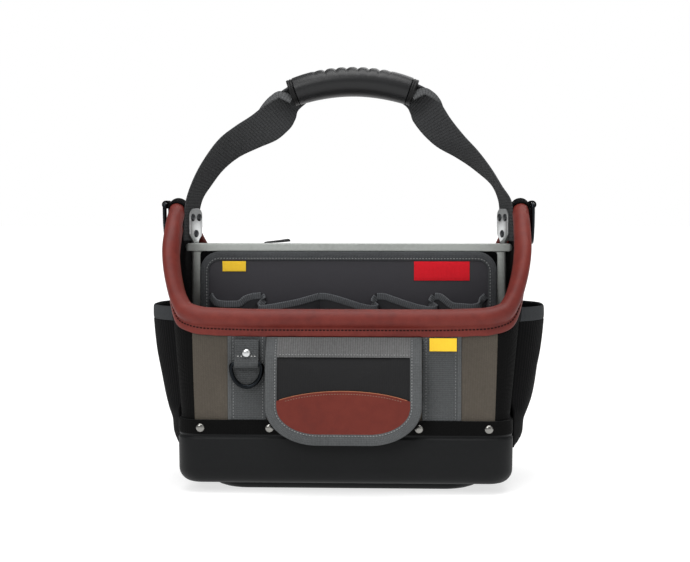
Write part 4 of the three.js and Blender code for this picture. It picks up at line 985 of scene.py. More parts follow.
def add_divider():
    """The board in coated cloth, a dark backing with small corners behind it, the tape that folds over
    the board's edge, and a row of stitches."""
    core = board_outline(BOARD_CORE_INSET)
    front, back = BOARD_LOW[1] + BOARD_CORE_INSET, BOARD_HIGH[1]
    layers = [(0.02, front - 0.5), (0.5, front - 0.45), (0.97, front - 0.1), (1, front + 0.3),
              (1, back - 0.3), (0.97, back), (0.02, back)]
    surface("board_panel", board_layers(core, layers), BOARD_CLOTH, "board_cloth",
            stands_for=["divider_board"])
    square = board_outline(-0.3, corner=BACKING_CORNER)
    layers = [(0.02, back - 1.2), (1, back - 1.2), (1, back - 0.4), (0.02, back - 0.4)]
    surface("board_backing", board_layers(square, layers), BLACK_CLOTH, "black_cloth")
    face, behind = BOARD_LOW[1], BOARD_HIGH[1]
    soft = [
        (BOARD_TAPE, face + 0.55),
        (BOARD_TAPE - 0.5, face + 0.08),
        (4.6, face - 0.1),
        (1.3, face + 0.15),
        (0.3, face + 0.9),
        (0, face + 2.2),
        (0, behind - 2.0),
        (0.35, behind - 0.6),
        (1.2, behind),
        (1.2, face + 1.4),
        (4.6, face + 1.3),
        (BOARD_TAPE, face + 1.3),
    ]
    rings = [(board_outline(inset), y) for inset, y in soft]
    points = np.stack([stack(ring[:, 0], y, ring[:, 1]) for ring, y in rings], 1)
    surface("board_tape", points, BOARD_TAPE_CLOTH, "grey_tape", stands_for=["divider_binding"])
    line = board_outline(BOARD_TAPE - 2.2)
    line = line[line[:, 1] > STITCHES_FROM]
    path = stack(line[:, 0], face + 0.02, line[:, 1])
    stitching("board_stitches", [(path, np.broadcast_to(spot(0, -1, 0), path.shape))], THREAD_LIGHT,
              "grey_tape", **BOARD_STITCH)


# Top edge of each pocket on the board, as listed points: x, way out from the board, height
POCKET_TOPS = [
    [(-139.4, 0.4, 191), (-137.2, 2.6, 187.6), (-134, 5.6, 184.4), (-128, 8.6, 182.9), (-118, 10, 182.6),
     (-109, 9, 183.4), (-103.5, 6, 187.6), (-98, 3.4, 189.6), (-88.2, 0.6, 190.6)],
    [(-87.2, 0.4, 190.6), (-85.4, 2.4, 187), (-89.6, 5.6, 179.8), (-88.6, 8.8, 178.2), (-80, 10.6, 179),
     (-66, 10, 181.4), (-50, 7.6, 184.6), (-38, 4, 187.8), (-29.6, 0.6, 190.2)],
    [(-28.8, 0.4, 190.2), (-22, 2.8, 190), (-10, 6, 187.4), (2, 8.8, 183.8), (14, 10.4, 180.2),
     (25, 9.6, 178.4), (29.6, 6.6, 178.8), (25.4, 3.6, 183.8), (28.6, 0.6, 190.2)],
    [(29.8, 0.4, 190.2), (36, 2.8, 190.2), (46, 6, 187.2), (60, 9.2, 182.6), (74, 10.6, 178.8),
     (85, 9.6, 177.4), (89.2, 6.6, 178.4), (83.6, 3.4, 184), (86.8, 0.6, 190.4)],
    [(88.2, 0.4, 190.6), (93, 2.8, 190.2), (98, 5.6, 186.8), (104, 8.4, 182.2), (116, 10, 180.6),
     (127, 9.2, 180.2), (132, 6.4, 181.6), (134.4, 3, 186.4), (139, 0.6, 190.8)],
]
POCKET_BOTTOM = 42
POCKET_HEM = 7.2
POCKET_HEM_THICKNESS = 2.6
POCKET_HEM_EDGE = 1.1
POCKET_UNDER_HEM = 0.6
POCKET_SWING = 2.2
POCKET_CLOTH_HALF = 0.55
POCKET_BELLY = 10.5

# How full a pocket is by the share of its height
POCKET_FULLNESS = [(0, 0.16), (0.3, 0.52), (0.65, 0.84), (0.9, 1), (1, 1)]


def add_divider_pockets():
    """Five cloth pockets that hang in folds below their bound top edges. The cloth follows the top
    edge's plan, flattening towards its foot."""
    face = BOARD_LOW[1] + 1.2
    for number, top in enumerate(POCKET_TOPS, 1):
        line = curve(top, 90)
        across = np.linspace(0, 1, 90)
        flat_x = mix(top[0][0], top[-1][0], across)
        share = np.linspace(0, 1, 26)[:, None]
        full = through(POCKET_FULLNESS, share[:, 0])[:, None]
        swing = share**POCKET_SWING
        x = mix(flat_x[None], line[None, :, 0], swing)
        belly = POCKET_BELLY * np.sin(math.pi * across)[None] ** 0.7
        out = mix(belly, line[None, :, 1], swing) * full
        z = mix(POCKET_BOTTOM, line[None, :, 2] - POCKET_UNDER_HEM, share)
        middle = stack(x, face - out, z)
        plan = unit(np.gradient(line[:, :2] * [1, -1], axis=0))
        away = stack(plan[:, 1], -plan[:, 0], 0)[None]
        outside, inside = (np.swapaxes(middle + way * POCKET_CLOTH_HALF * away, 0, 1) for way in (1, -1))
        shell(f"pocket_{number}", outside, inside, POCKET_CLOTH, "board_cloth",
              stands_for=[f"divider_pocket_{number}"])
        path = stack(line[:, 0], face - line[:, 1], line[:, 2] - POCKET_HEM / 2)
        forward = tangents(path)
        side = unit(away[0] - forward * (away[0] * forward).sum(-1, keepdims=True))
        up = np.cross(side, forward)
        up *= np.sign(up[:, 2:])
        profile = box_profile(POCKET_HEM_THICKNESS, POCKET_HEM, POCKET_HEM_EDGE, 5, across=3)
        hem = sweep(path, side, up, profile)
        surface(f"pocket_hem_{number}", hem, POCKET_HEM_TAPE, "grey_tape")


LABELS = [
    ("board_label_yellow", YELLOW, "yellow_label"),
    ("board_label_red", RED, "red_label"),
    ("front_label_yellow", YELLOW, "yellow_label"),
]
LABEL_THICKNESS = 0.7
LABEL_EDGE = 0.33
LABEL_CROWN = 0.25


def add_labels():
    """Bare woven labels, each a rounded strip that stands off a little along its middle."""
    for node, material, slot in LABELS:
        low, high = node_box(node)
        across = np.linspace(-1, 1, 30)
        middle = (low + high) / 2
        crown = LABEL_CROWN * np.cos(across * math.pi / 2)
        x = np.linspace(low[0], high[0], 30)
        path = stack(x, high[1] - LABEL_THICKNESS / 2 - crown, middle[2])
        profile = box_profile(LABEL_THICKNESS, high[2] - low[2], LABEL_EDGE, 4, across=4)
        points = sweep(path, spot(0, 1, 0), spot(0, 0, 1), profile)
        surface(f"{node}_cloth", points, material, slot, stands_for=[node])


# Handle

BRACKET_LEAN = math.radians(24)
BRACKET_PLACE = 157.4
BRACKET_HALF = 12
BRACKET_CORNER = 7
BOLT_WIDTH = 7.8
BOLT_HEIGHT = 1.6
BOLT_PLACES = [(-6.2, 26), (6.2, 26), (0, 9.5)]
BRACKET_LOW = 240.3
BRACKET_HEIGHT = 35
BRACKET_MIDDLE = 18
PLATE_HALF = 1.5

# The foot of a plate's outline: how far from its middle, height
BRACKET_FOOT = [(5, 0), (5, 2), (8, 5), (11, 7.4), (BRACKET_HALF, 10)]

# A plate's layers through its thickness, its edges eased: inset, level
PLATE_LAYERS = [(0.6, -PLATE_HALF), (0, -1.1), (0, 1.1), (0.6, PLATE_HALF)]


def add_brackets():
    """Plates with rounded tops and a narrow foot, turned about the upright, with three domed bolts."""
    for name, sign in SIDES.items():
        wide = spot(-sign * math.sin(BRACKET_LEAN), math.cos(BRACKET_LEAN), 0)
        inward = spot(-sign * math.cos(BRACKET_LEAN), -math.sin(BRACKET_LEAN), 0)
        centre = spot(sign * BRACKET_PLACE, 0, BRACKET_LOW)
        turn = np.radians(np.linspace(0, 90, 8))
        corner = BRACKET_CORNER * (np.stack([np.cos(turn), np.sin(turn)], 1) - 1)
        right = np.concatenate([BRACKET_FOOT, corner + [BRACKET_HALF, BRACKET_HEIGHT]])
        outline = np.concatenate([right, right[::-1] * [-1, 1]])
        middle = np.array([0.0, BRACKET_MIDDLE])
        layers = []
        for inset, level in PLATE_LAYERS:
            shrunk = outline - unit(outline - middle) * inset
            layers.append(centre + shrunk[:, :1] * wide + shrunk[:, 1:] * spot(0, 0, 1) + level * inward)
        surface(f"bracket_plate_{name}", np.stack(layers), CHROME, "bracket_metal",
                stands_for=[f"bracket_{name}"])
        for number, (a, b) in enumerate(BOLT_PLACES, 1):
            base = centre + a * wide + spot(0, 0, b) + PLATE_HALF * inward
            points = dome_points(BOLT_WIDTH, BOLT_HEIGHT, base, inward, wide)
            surface(f"bolt_{name}_{number}", points, BOLT_METAL, "rivet_metal",
                    stands_for=[f"bracket_bolt_{name}_{number}"])


GRIP_CENTRE_X = 4
GRIP_MIDDLE = 404
GRIP_RADIUS = 175
GRIP_LENGTH = 118
GRIP_SWEEP = GRIP_LENGTH / GRIP_RADIUS
GRIP_HEIGHT = 30
GRIP_DEPTH = 34
GRIP_TAPER = 0.94
GRIP_END = 0.93
RIDGE_DEPTH = 1.98
RIDGE_WAVES = 3.5 / 0.62
RIDGED_SHARE = 0.6
RIDGE_FADE = 40
LIP_LENGTH = 5
LIP_SHARE = 0.87
LIP_SWELL = 1.6
LIP_GAP = 0.3


def grip_frame(turn):
    """Points of the grip's middle line by the angle from its crown, and the way out from its centre."""
    out = stack(np.sin(turn), 0, np.cos(turn))
    return spot(GRIP_CENTRE_X, 0, GRIP_MIDDLE - GRIP_RADIUS) + out * GRIP_RADIUS, out


def grip_rings(path, out, tall, deep, around):
    """Ovals square to the grip's line, by their half height and half depth."""
    a, b = tall * np.cos(around)[None], deep * np.sin(around)[None]
    return path[:, None] + a[..., None] * out[:, None] + b[..., None] * spot(0, 1, 0)


def add_grip():
    """A rubber grip of ovals bent along an arc, with cushioned ridges along its crown whose depth is a
    power of a cosine, and at each end a lip with two swells."""
    end = GRIP_SWEEP / 2
    turn = np.concatenate([[-end], np.linspace(-end * 0.985, end * 0.985, 150), [end]])
    share = turn / end
    ridged = 1 / (1 + np.exp((np.abs(share) - RIDGED_SHARE) * RIDGE_FADE))
    groove = ridged * (1 - np.abs(np.cos(math.pi * RIDGE_WAVES * share))) ** 1.5
    waist = mix(1, GRIP_TAPER, np.abs(share) ** 3)
    waist[[0, -1]] *= GRIP_END
    around = np.linspace(0, 2 * math.pi, 72, endpoint=False)
    crown = np.clip(np.cos(around), 0, 1) ** 1.5
    path, out = grip_frame(turn)
    tall = GRIP_HEIGHT / 2 * waist[:, None] - RIDGE_DEPTH * groove[:, None] * crown[None]
    points = grip_rings(path, out, tall, GRIP_DEPTH / 2 * waist[:, None], around)
    surface("grip", points, RUBBER, "grip_rubber", stands_for=["handle_grip"])
    for name, sign in SIDES.items():
        steps = np.linspace(0, LIP_LENGTH, 14)
        swell = LIP_SWELL * np.abs(np.sin(np.clip(steps / LIP_LENGTH, 0.03, 0.97) * math.pi * 2)) ** 0.5
        path, out = grip_frame(sign * (end + (LIP_GAP + steps) / GRIP_RADIUS))
        tall, deep = ((size * LIP_SHARE + swell)[:, None] / 2 for size in (GRIP_HEIGHT, GRIP_DEPTH))
        points = grip_rings(path, out, tall, deep, around)
        surface(f"grip_lip_{name}", points, LIP_RUBBER, "grip_rubber", stands_for=[f"grip_collar_{name}"])


STRAP_WIDTH = 38
STRAP_THICKNESS = 3
STRAP_STEPS = 180
LEAST_CURL = 0.5
SELVAGE_FROM = 0.84
SELVAGE_RISE = 0.12
FOLD_THICKNESS = 2.2
FOLD_EDGE = 0.45

# Edges of each strap as it rises, seen from the front: outer x and z, inner x and z, then how far the
# webbing curls across its width, in degrees
STRAP_EDGES = {
    "left": [
        (-166.4, 243.0, -156.6, 243.0, 0),
        (-166.0, 264.0, -156.8, 264.0, 0),
        (-163.4, 284.3, -152.6, 284.3, 4),
        (-155.6, 306.5, -142.8, 299.6, 8),
        (-143.6, 328.0, -129.4, 316.3, 12),
        (-130.1, 345.8, -113.5, 328.6, 16),
        (-113.3, 359.3, -92.2, 338.3, 20),
        (-98.0, 369.6, -73.5, 346.0, 24),
        (-84.6, 380.2, -62.0, 355.6, 34),
        (-72.0, 389.6, -55.2, 366.2, 70),
        (-61.8, 396.0, -51.6, 376.6, 120),
        (-52.0, 400.6, -44.4, 383.0, 150),
    ],
    "right": [
        (166.4, 243.0, 155.6, 243.0, 0),
        (166.0, 264.0, 155.0, 264.0, 0),
        (163.0, 284.3, 153.4, 284.3, 4),
        (154.7, 296.6, 147.6, 298.4, 8),
        (144.2, 314.2, 130.1, 314.3, 12),
        (130.1, 333.6, 109.0, 328.2, 16),
        (116.0, 349.4, 89.7, 338.8, 20),
        (103.0, 366.0, 75.6, 351.4, 24),
        (93.6, 381.0, 66.8, 362.4, 34),
        (82.4, 392.6, 62.8, 371.8, 70),
        (70.4, 399.0, 58.6, 379.4, 120),
        (60.0, 402.6, 51.6, 384.6, 150),
    ],
}

# The webbing's front edge folded over where it bunches into the grip: x, y, z and its width
STRAP_FOLDS = {
    "left": [
        (-93, -3, 371.6, 0.8),
        (-84, -9, 381.4, 4.5),
        (-76, -11, 387.4, 7.5),
        (-69, -12, 390.6, 9),
        (-63, -12.5, 388.4, 9.5),
        (-57, -12, 385.2, 9),
    ],
    "right": [
        (96.2, -2.5, 375.2, 0.8),
        (91, -8, 384.4, 4.5),
        (84, -11, 390.4, 7.5),
        (76.5, -12.5, 393.4, 9),
        (71, -12.5, 391.4, 9.5),
        (65, -12, 388, 9),
    ],
}


def add_straps():
    """Twisting webbing between two edge lines. Across its width it is an arc that keeps the webbing's
    real width, and its depth is what is left of that width after the distance seen from the front.
    Its two edges are bound a little thicker. Its front edge is folded over beside the grip, in a lighter
    copy of the webbing: a painted highlight on the fold."""
    for name, sign in SIDES.items():
        rows = np.array(STRAP_EDGES[name], float)
        line = curve(rows, STRAP_STEPS)
        curl = np.radians(np.maximum(line[:, 4], LEAST_CURL))[:, None]
        outer, inner = line[:, :2], line[:, 2:4]
        chord = STRAP_WIDTH / curl[:, 0] * 2 * np.sin(curl[:, 0] / 2)
        seen = np.linalg.norm(outer - inner, axis=1)
        deep = np.sqrt(np.maximum(chord**2 - seen**2, 1.0))
        front_edge = stack(outer[:, 0], -deep / 2, outer[:, 1])
        back_edge = stack(inner[:, 0], deep / 2, inner[:, 1])
        centre = (front_edge + back_edge) / 2
        wide = unit(back_edge - front_edge)
        forward = tangents(centre)
        thin = unit(np.cross(wide, forward)) * sign
        s = np.linspace(-1, 1, 26)
        angle = curl * s[None] / 2
        radius = STRAP_WIDTH / curl
        across = radius * np.sin(angle)
        rise = radius * (np.cos(angle) - np.cos(curl / 2))
        middle = centre[:, None] + across[..., None] * wide[:, None] + rise[..., None] * thin[:, None]
        normal = np.cos(angle)[..., None] * thin[:, None] + np.sin(angle)[..., None] * wide[:, None]
        beside = np.abs(s)[None, :, None]
        edge = np.sqrt(1 - 0.9 * beside**18) * (1 + SELVAGE_RISE * (beside > SELVAGE_FROM))
        half = STRAP_THICKNESS / 2 * 0.9 * edge
        shell(f"strap_web_{name}", middle + normal * half, middle - normal * half, STRAP_WEB,
              "strap_webbing", stands_for=[f"strap_{name}"])
        fold = curve(STRAP_FOLDS[name], 40)
        path, width = fold[:, :3], fold[:, 3:]
        forward = tangents(path)
        side = unit(np.cross(forward, spot(0, -0.75, 0.66)))
        up = unit(np.cross(side, forward))
        profile = box_profile(1, FOLD_THICKNESS, FOLD_EDGE, 5, across=4) * stack(width, 1.0)
        # The fold's lighter webbing is a painted highlight on its top.
        surface(f"strap_fold_{name}", sweep(path, side, up, profile), FOLD_WEB_PAINTED_HIGHLIGHT, "strap_webbing")


# Front

STRIP_PLACE = 93.8
STRIP_WIDTH = 37.5
STRIP_THICKNESS = 1.3
STRIP_FACE = -WALL_FACE - 1.05
STRIP_FOLD = 4.2
STRIP_FOLD_THICKNESS = 1.5
STRIP_STITCH_FACE = -WALL_FACE - 1.72
STRIP_STITCH = {"pitch": 2.9, "share": 0.6, "thick": 0.28}


def add_front_webbing():
    """Grey webbing down the front, with a folded edge along its outer side and rows of stitches."""
    rows = []
    for name, sign in SIDES.items():
        low, high = node_box(f"webbing_strip_{name}")
        z = np.linspace(low[2], high[2], 60)
        middle = (low + high) / 2
        path = stack(sign * (STRIP_PLACE - 2), STRIP_FACE, z)
        profile = box_profile(STRIP_WIDTH - 4, STRIP_THICKNESS, 0.6, 4, across=6)
        points = sweep(path, spot(1, 0, 0), spot(0, 1, 0), profile)
        surface(f"front_strip_{name}", points, GREY_WEB, "grey_webbing",
                stands_for=[f"webbing_strip_{name}"])
        edge = abs(middle[0]) + STRIP_WIDTH / 2 - 2
        path = stack(sign * edge, STRIP_FACE + 0.05, z)
        profile = box_profile(STRIP_FOLD, STRIP_FOLD_THICKNESS, 0.7, 4, across=2)
        points = sweep(path, spot(1, 0, 0), spot(0, 1, 0), profile)
        surface(f"strip_edge_{name}", points, TAPE, "grey_tape")
        for x in (edge - 3.4, edge - STRIP_WIDTH + 5.6):
            line = stack(sign * x, STRIP_STITCH_FACE, np.linspace(low[2] + 1, high[2], 60))
            rows.append((line, np.broadcast_to(spot(0, -1, 0), line.shape)))
    stitching("strip_stitches", rows, THREAD_LIGHT, "grey_tape", **STRIP_STITCH)


LOOP_RIVET_WIDTH = 8.6
LOOP_RIVET_HEIGHT = 2.6
LOOP_STITCH_UP = 7.4
LOOP_STITCH = {"pitch": 3, "share": 0.6, "thick": 0.6}


def add_ring_loop():
    """Webbing folded round the ring's bar and back up, riveted and stitched, and its ring."""
    low, high = node_box("ring_loop")
    ring_low, ring_high = node_box("front_ring")
    y = (ring_low[1] + ring_high[1]) / 2
    z = ring_high[2] - RING_WIRE / 2
    outer = BORE + LOOP_THICKNESS / 2
    back = high[1] - LOOP_THICKNESS / 2
    front = back - LOOP_THICKNESS
    turn = np.radians(np.linspace(120, 420, 30))
    sleeve = np.stack([y + outer * np.cos(turn), z + outer * np.sin(turn)], 1)
    down = [(front, high[2]), (front, z + 14), (front - 0.2, z + 8), (front - 1.2, z + 5.2)]
    again = [(back, z + 5.6), (back, z + 9), (back, high[2])]
    line = evenly(np.concatenate([down, sleeve, again]), 90)
    path = stack((low[0] + high[0]) / 2, line[:, 0], line[:, 1])
    forward = tangents(path)
    up = np.cross(spot(1, 0, 0), forward)
    profile = box_profile(high[0] - low[0], LOOP_THICKNESS - 0.1, 0.75, 4, across=6)
    surface("loop_webbing", sweep(path, spot(1, 0, 0), up, profile), GREY_WEB, "grey_webbing",
            stands_for=["ring_loop"])
    rivet_low, rivet_high = node_box("ring_loop_rivet")
    middle = (rivet_low + rivet_high) / 2
    base = spot(middle[0], rivet_high[1], middle[2])
    points = dome_points(LOOP_RIVET_WIDTH, LOOP_RIVET_HEIGHT, base, spot(0, -1, 0), spot(1, 0, 0))
    surface("loop_rivet_head", points, CHROME, "rivet_metal", stands_for=["ring_loop_rivet"])
    x = np.linspace(low[0] + 2, high[0] - 2, 30)
    line = stack(x, front - LOOP_THICKNESS / 2 - 0.75, z + LOOP_STITCH_UP)
    stitching("loop_stitches", [(line, np.broadcast_to(spot(0, -1, 0.2), line.shape))], THREAD_WHITE,
              "grey_tape", **LOOP_STITCH)
    add_ring("front_ring_wire", "front_ring", spot(middle[0], y, z), spot(1, 0, 0), spot(0, 1, 0),
             FRONT_RING)


FLAP_HALF = 74.8
FLAP_LENGTH = 102
FLAP_TOP = 151.8
FLAP_CORNER_WIDTH = 50
FLAP_CORNER_HEIGHT = 37
FLAP_THICKNESS = 2.4
FLAP_TAPE = 11.5
FLAP_BAND = 18.2
FLAP_STAND = 17.5
FLAP_HEART = (0, 50)
FLAP_SAG = 0.48
FLAP_STEP = 0.5
PATCH_DROP = 57.8
PATCH_CROWN = 8
PATCH_TUCK = 0.6
PATCH_FACE = 2.4
BAND_FACE = 2.4
BAND_BACK = 1.3
PANEL_FACE = 1.25
TAPE_STITCH_OUT = 2.85
CLOTH_STITCH_OUT = 2.45
FLAP_STITCH = {"pitch": 2.9, "share": 0.6, "thick": 0.45}
PATCH_STITCH = {"pitch": 2.6, "share": 0.6, "thick": 0.34}

# The flap's panel from its back to its face: share of the way to its edge, out
FLAP_LAYERS = [
    (0.02, -1.2),
    (0.5, -1.2),
    (0.9, -1.2),
    (0.99, -0.9),
    (1, 0),
    (0.99, 0.9),
    (0.9, 1.2),
    (0.7, PANEL_FACE),
    (0.5, PANEL_FACE),
    (0.25, PANEL_FACE),
    (0.02, PANEL_FACE),
]

# The tape's section round the flap's edge: inset, out
FLAP_TAPE_SECTION = [
    (FLAP_TAPE, 1.5),
    (FLAP_TAPE - 0.3, 2.3),
    (FLAP_TAPE - 1.2, 2.75),
    (FLAP_TAPE / 2, 2.85),
    (1.6, 2.6),
    (0.5, 2.0),
    (0.0, 0.9),
    (0.0, -0.4),
    (0.5, -1.2),
    (1.6, -1.7),
    (FLAP_TAPE - 1, -1.8),
    (FLAP_TAPE, -1.3),
]

# How far the flap stands off the wall: share of its length, share of its full stand
FLAP_PROFILE = [(0, 0), (0.07, 0.3), (0.17, 0.72), (0.34, 0.95), (0.6, 1.04), (1, 0.98)]


def flap_point(x, down, out):
    """A point of the flap: across, down its length, and out from its middle surface. It stands off the
    wall by its profile, less a sag that is a cosine across times a sine down."""
    x, down, out = np.broadcast_arrays(np.asarray(x, float), down, out)
    stand = FLAP_STAND * through(FLAP_PROFILE, down / FLAP_LENGTH)
    below, above = (through(FLAP_PROFILE, (down + way * FLAP_STEP) / FLAP_LENGTH) for way in (1, -1))
    tilt = np.arctan(FLAP_STAND * (below - above) / (2 * FLAP_STEP))
    across = np.cos(np.clip(x / FLAP_HALF, -1, 1) * math.pi / 2)
    sag = FLAP_SAG * across * np.sin(down / FLAP_LENGTH * math.pi)
    root = WALL_FACE + GAP + FLAP_THICKNESS / 2
    y = -root - stand + sag - out * np.cos(tilt)
    return stack(x, y, FLAP_TOP - down + out * np.sin(tilt) * 0.5)


def flap_edge(inset, start=0.0, steps=40):
    """The flap's outline from its upper left, round the bottom to its upper right, moved inwards. Its
    lower corners are quarter ellipses."""
    reach, low = FLAP_HALF - inset, FLAP_LENGTH - inset
    wide, tall = FLAP_CORNER_WIDTH - inset, FLAP_CORNER_HEIGHT - inset
    side = np.linspace(start, low - tall, steps)[:-1]
    turn = np.radians(np.linspace(0, 90, 36))
    left = [np.stack([np.full(len(side), -reach), side], 1)]
    left.append(np.stack([-reach + wide - wide * np.cos(turn), low - tall + tall * np.sin(turn)], 1))
    run = np.linspace(-reach + wide, 0, 24)[1:]
    left.append(np.stack([run, np.full(23, low)], 1))
    first = np.concatenate(left)
    return np.concatenate([first, first[-2::-1] * [-1, 1]])


def add_flap():
    """The flap's padded panel, its webbing band, its bound edge, its leather patch, and their stitches."""
    outline, centre = flap_edge(0.4), np.array(FLAP_HEART, float)
    layers = [flap_point(*mix(centre, outline, share).T, out) for share, out in FLAP_LAYERS]
    obj = surface("flap_cloth", np.stack(layers), FLAP_CLOTH, "black_cloth", stands_for=["flap_panel"])

    down = np.linspace(0.2, FLAP_BAND, 16)[None]
    x = np.linspace(-FLAP_HALF + FLAP_TAPE - 0.5, FLAP_HALF - FLAP_TAPE + 0.5, 60)[:, None]
    shell("flap_webbing", flap_point(x, down, BAND_FACE), flap_point(x, down, BAND_BACK), FLAP_WEB,
          "grey_webbing", stands_for=["flap_band"])

    edges = np.stack([flap_point(*flap_edge(inset).T, out) for inset, out in FLAP_TAPE_SECTION], 1)
    surface("flap_tape", edges, TAPE, "grey_tape", stands_for=["flap_binding"])

    side = np.linspace(-1, 1, 81)
    hidden = FLAP_TAPE - PATCH_TUCK
    reach = FLAP_HALF - hidden
    x = reach * side
    top = PATCH_DROP - PATCH_CROWN * (1 - side**2) + 1.5 * side**4
    wide, tall = FLAP_CORNER_WIDTH - hidden, FLAP_CORNER_HEIGHT - hidden
    over = np.clip((np.abs(x) - (reach - wide)) / wide, 0, 0.9999)
    bottom = FLAP_LENGTH - hidden - tall + tall * np.sqrt(1 - over**2)
    share = np.concatenate([[0, 0.008, 0.02], np.linspace(0.05, 1, 20)])[None]
    thick = np.concatenate([[1.5, 2.1, 2.35], np.full(20, PATCH_FACE)])[None]
    downs = mix(top[:, None], bottom[:, None], share)
    faces = [flap_point(x[:, None], downs, out) for out in (thick, PANEL_FACE)]
    shell("patch_leather", *faces, PATCH_LEATHER, "rim_leather", stands_for=["flap_patch"])
    edge_line = flap_point(x[2:-2], top[2:-2], 2.2)
    forward = tangents(edge_line)
    edge = sweep(edge_line, np.cross(forward, spot(0, -1, 0)), spot(0, -1, 0), round_profile(0.35, 8))
    surface("patch_edge", edge, THREAD_RED, "rim_leather")

    def seam(points, away):
        return points, np.broadcast_to(away, points.shape)

    out = spot(0, -1, 0.05)
    inside = flap_edge(FLAP_TAPE - 1.9, start=2.0)
    rows = [seam(flap_point(*inside.T, TAPE_STITCH_OUT), out)]
    rows.append(seam(flap_point(np.linspace(-62, 62, 60), FLAP_BAND - 2.2, CLOTH_STITCH_OUT), out))
    stitching("flap_stitches", rows, THREAD_LIGHT, "grey_tape", **FLAP_STITCH)
    rows = [seam(flap_point(x[5:-5], top[5:-5] + 2.6, CLOTH_STITCH_OUT), out)]
    stitching("patch_stitches", rows, THREAD_PALE, "rim_leather", **PATCH_STITCH)


def add_pouch():
    """The pouch below the flap: a box of cloth with round edges, open at its top."""
    low, high = node_box("flap_pouch")
    centre = (low + high) / 2
    half = (high - low) / 2

    def ring(inset, z):
        flat = rounded_ring(half[0] - inset, half[1] - min(inset, 3), 4.6 - min(inset, 3), z)
        return flat + spot(centre[0], centre[1], 0)

    rows = [(0.9, low[2]), (0.2, low[2] + 0.6), (0, low[2] + 2), (0.3, 100), (0, high[2] - 0.6),
            (0.6, high[2]), (1.2, high[2] - 0.5), (1.5, high[2] - 3), (1.5, low[2] + 2), (2.4, low[2] + 1.5)]
    surface("pouch_cloth", np.stack([ring(inset, z) for inset, z in rows]), FLAP_CLOTH, "black_cloth",
            stands_for=["flap_pouch"])


# Side pockets

SIDE_POCKET_HALF = 61
SIDE_POCKET_LOW = 41
SIDE_POCKET_TOP = 179
SIDE_POCKET_STAND = 30
SIDE_POCKET_HEM = 14
POCKET_FOLD = 0.7
MESH_THICKNESS = 1.6
HEM_THICKNESS = 2.4

# Stand-off of a side pocket's middle and its edge over the tub, by the share of its height
SIDE_POCKET_ROWS = [
    (0, 0.24, 1),
    (0.02, 0.42, 1),
    (0.08, 0.57, 1),
    (0.17, 0.62, 1),
    (0.24, 0.74, 1),
    (0.34, 0.85, 0),
    (0.5, 0.93, 0),
    (0.7, 1, 0),
    (0.9, 1.02, 0),
    (1, 0.99, 0),
]


def pocket_point(share, y, thick, out, sign):
    """A point of a side pocket: its belly falls off with the cube of the way to its edges, where it
    lies on the wall or clears the tub, and soft folds are a sine that wanders."""
    share, y, thick, out = np.broadcast_arrays(np.asarray(share, float), y, thick, out)
    z = mix(SIDE_POCKET_LOW, SIDE_POCKET_TOP, share)
    rows = through(SIDE_POCKET_ROWS, share)
    across = y / SIDE_POCKET_HALF
    edge = thick + GAP + rows[..., 1] * (TUB_WALL + BAND_STEP + GAP)
    wander = across * 9 + 2.2 * np.sin(share * 5)
    fold = POCKET_FOLD * np.sin(wander) * (1 - across**2) * np.sin(share * math.pi)
    middle = np.maximum(rows[..., 0] * SIDE_POCKET_STAND, edge) + fold
    stand = mix(edge, middle, 1 - np.abs(across) ** 3)
    return wall_at(at_depth(y, z), z, WALL_HALF + stand - out, sign)


def add_side_pockets():
    """A belly of mesh cloth on each side, with a grey hem along its mouth, its tape darkened as painted
    shade.
    """
    hem_share = 1 - SIDE_POCKET_HEM / (SIDE_POCKET_TOP - SIDE_POCKET_LOW)
    y = np.sin(np.linspace(-1, 1, 61) * math.pi / 2) * SIDE_POCKET_HALF
    for name, sign in SIDES.items():
        share = np.concatenate([[0, 0.01, 0.02, 0.05], np.linspace(0.08, hem_share - 0.003, 44)])
        outer = pocket_point(share[None], y[:, None], MESH_THICKNESS, 0.0, sign)
        inner = pocket_point(share[None], y[:, None], MESH_THICKNESS, MESH_THICKNESS - 0.1, sign)
        shell(f"side_mesh_{name}", outer, inner, MESH_CLOTH, "pocket_mesh",
              stands_for=[f"side_pocket_{name}"])
        share = np.linspace(hem_share, 1, 14)
        eased = np.abs(np.linspace(-1, 1, 14))[None] ** 6
        outer = pocket_point(share[None], y[:, None], HEM_THICKNESS, 0.8 * eased, sign)
        inner = pocket_point(share[None], y[:, None], HEM_THICKNESS, HEM_THICKNESS - 0.1 - 0.6 * eased, sign)
        # The hem's darker tape is painted shade.
        shell(f"side_hem_{name}", outer, inner, HEM_TAPE, "grey_tape",
              stands_for=[f"side_pocket_hem_{name}"])


PULL_WIDTH = 7
PULL_THICKNESS = 3.4
PULL_LIFT = 1.6


def add_bar_pull():
    """A thin pull that lies on the bar: a flat strip that thickens and lifts towards one end."""
    low, high = node_box("bar_pull")
    share = np.linspace(0, 1, 30)
    x = mix(low[0], high[0], share)
    rounded = np.sqrt(np.clip(1 - (2 * share - 1) ** 10, 0.02, 1))
    thick = PULL_THICKNESS * rounded * mix(0.45, 1, share)
    z = low[2] + thick / 2 + PULL_LIFT * share**2
    middle = (low[1] + high[1]) / 2
    wide = PULL_WIDTH * mix(0.5, 1, share)
    profiles = np.stack([box_profile(w, t, t * 0.45, 4) for w, t in zip(wide, thick)])
    points = sweep(stack(x, middle, z), spot(0, 1, 0), spot(0, 0, 1), profiles)
    surface("pull", points, RUBBER, "grip_rubber", stands_for=["bar_pull"])


# Stage, lights and camera, in metres

FLOOR_REACH = 20
FLOOR_SHADE = 0.4
FLOOR_GLOW = 0.7


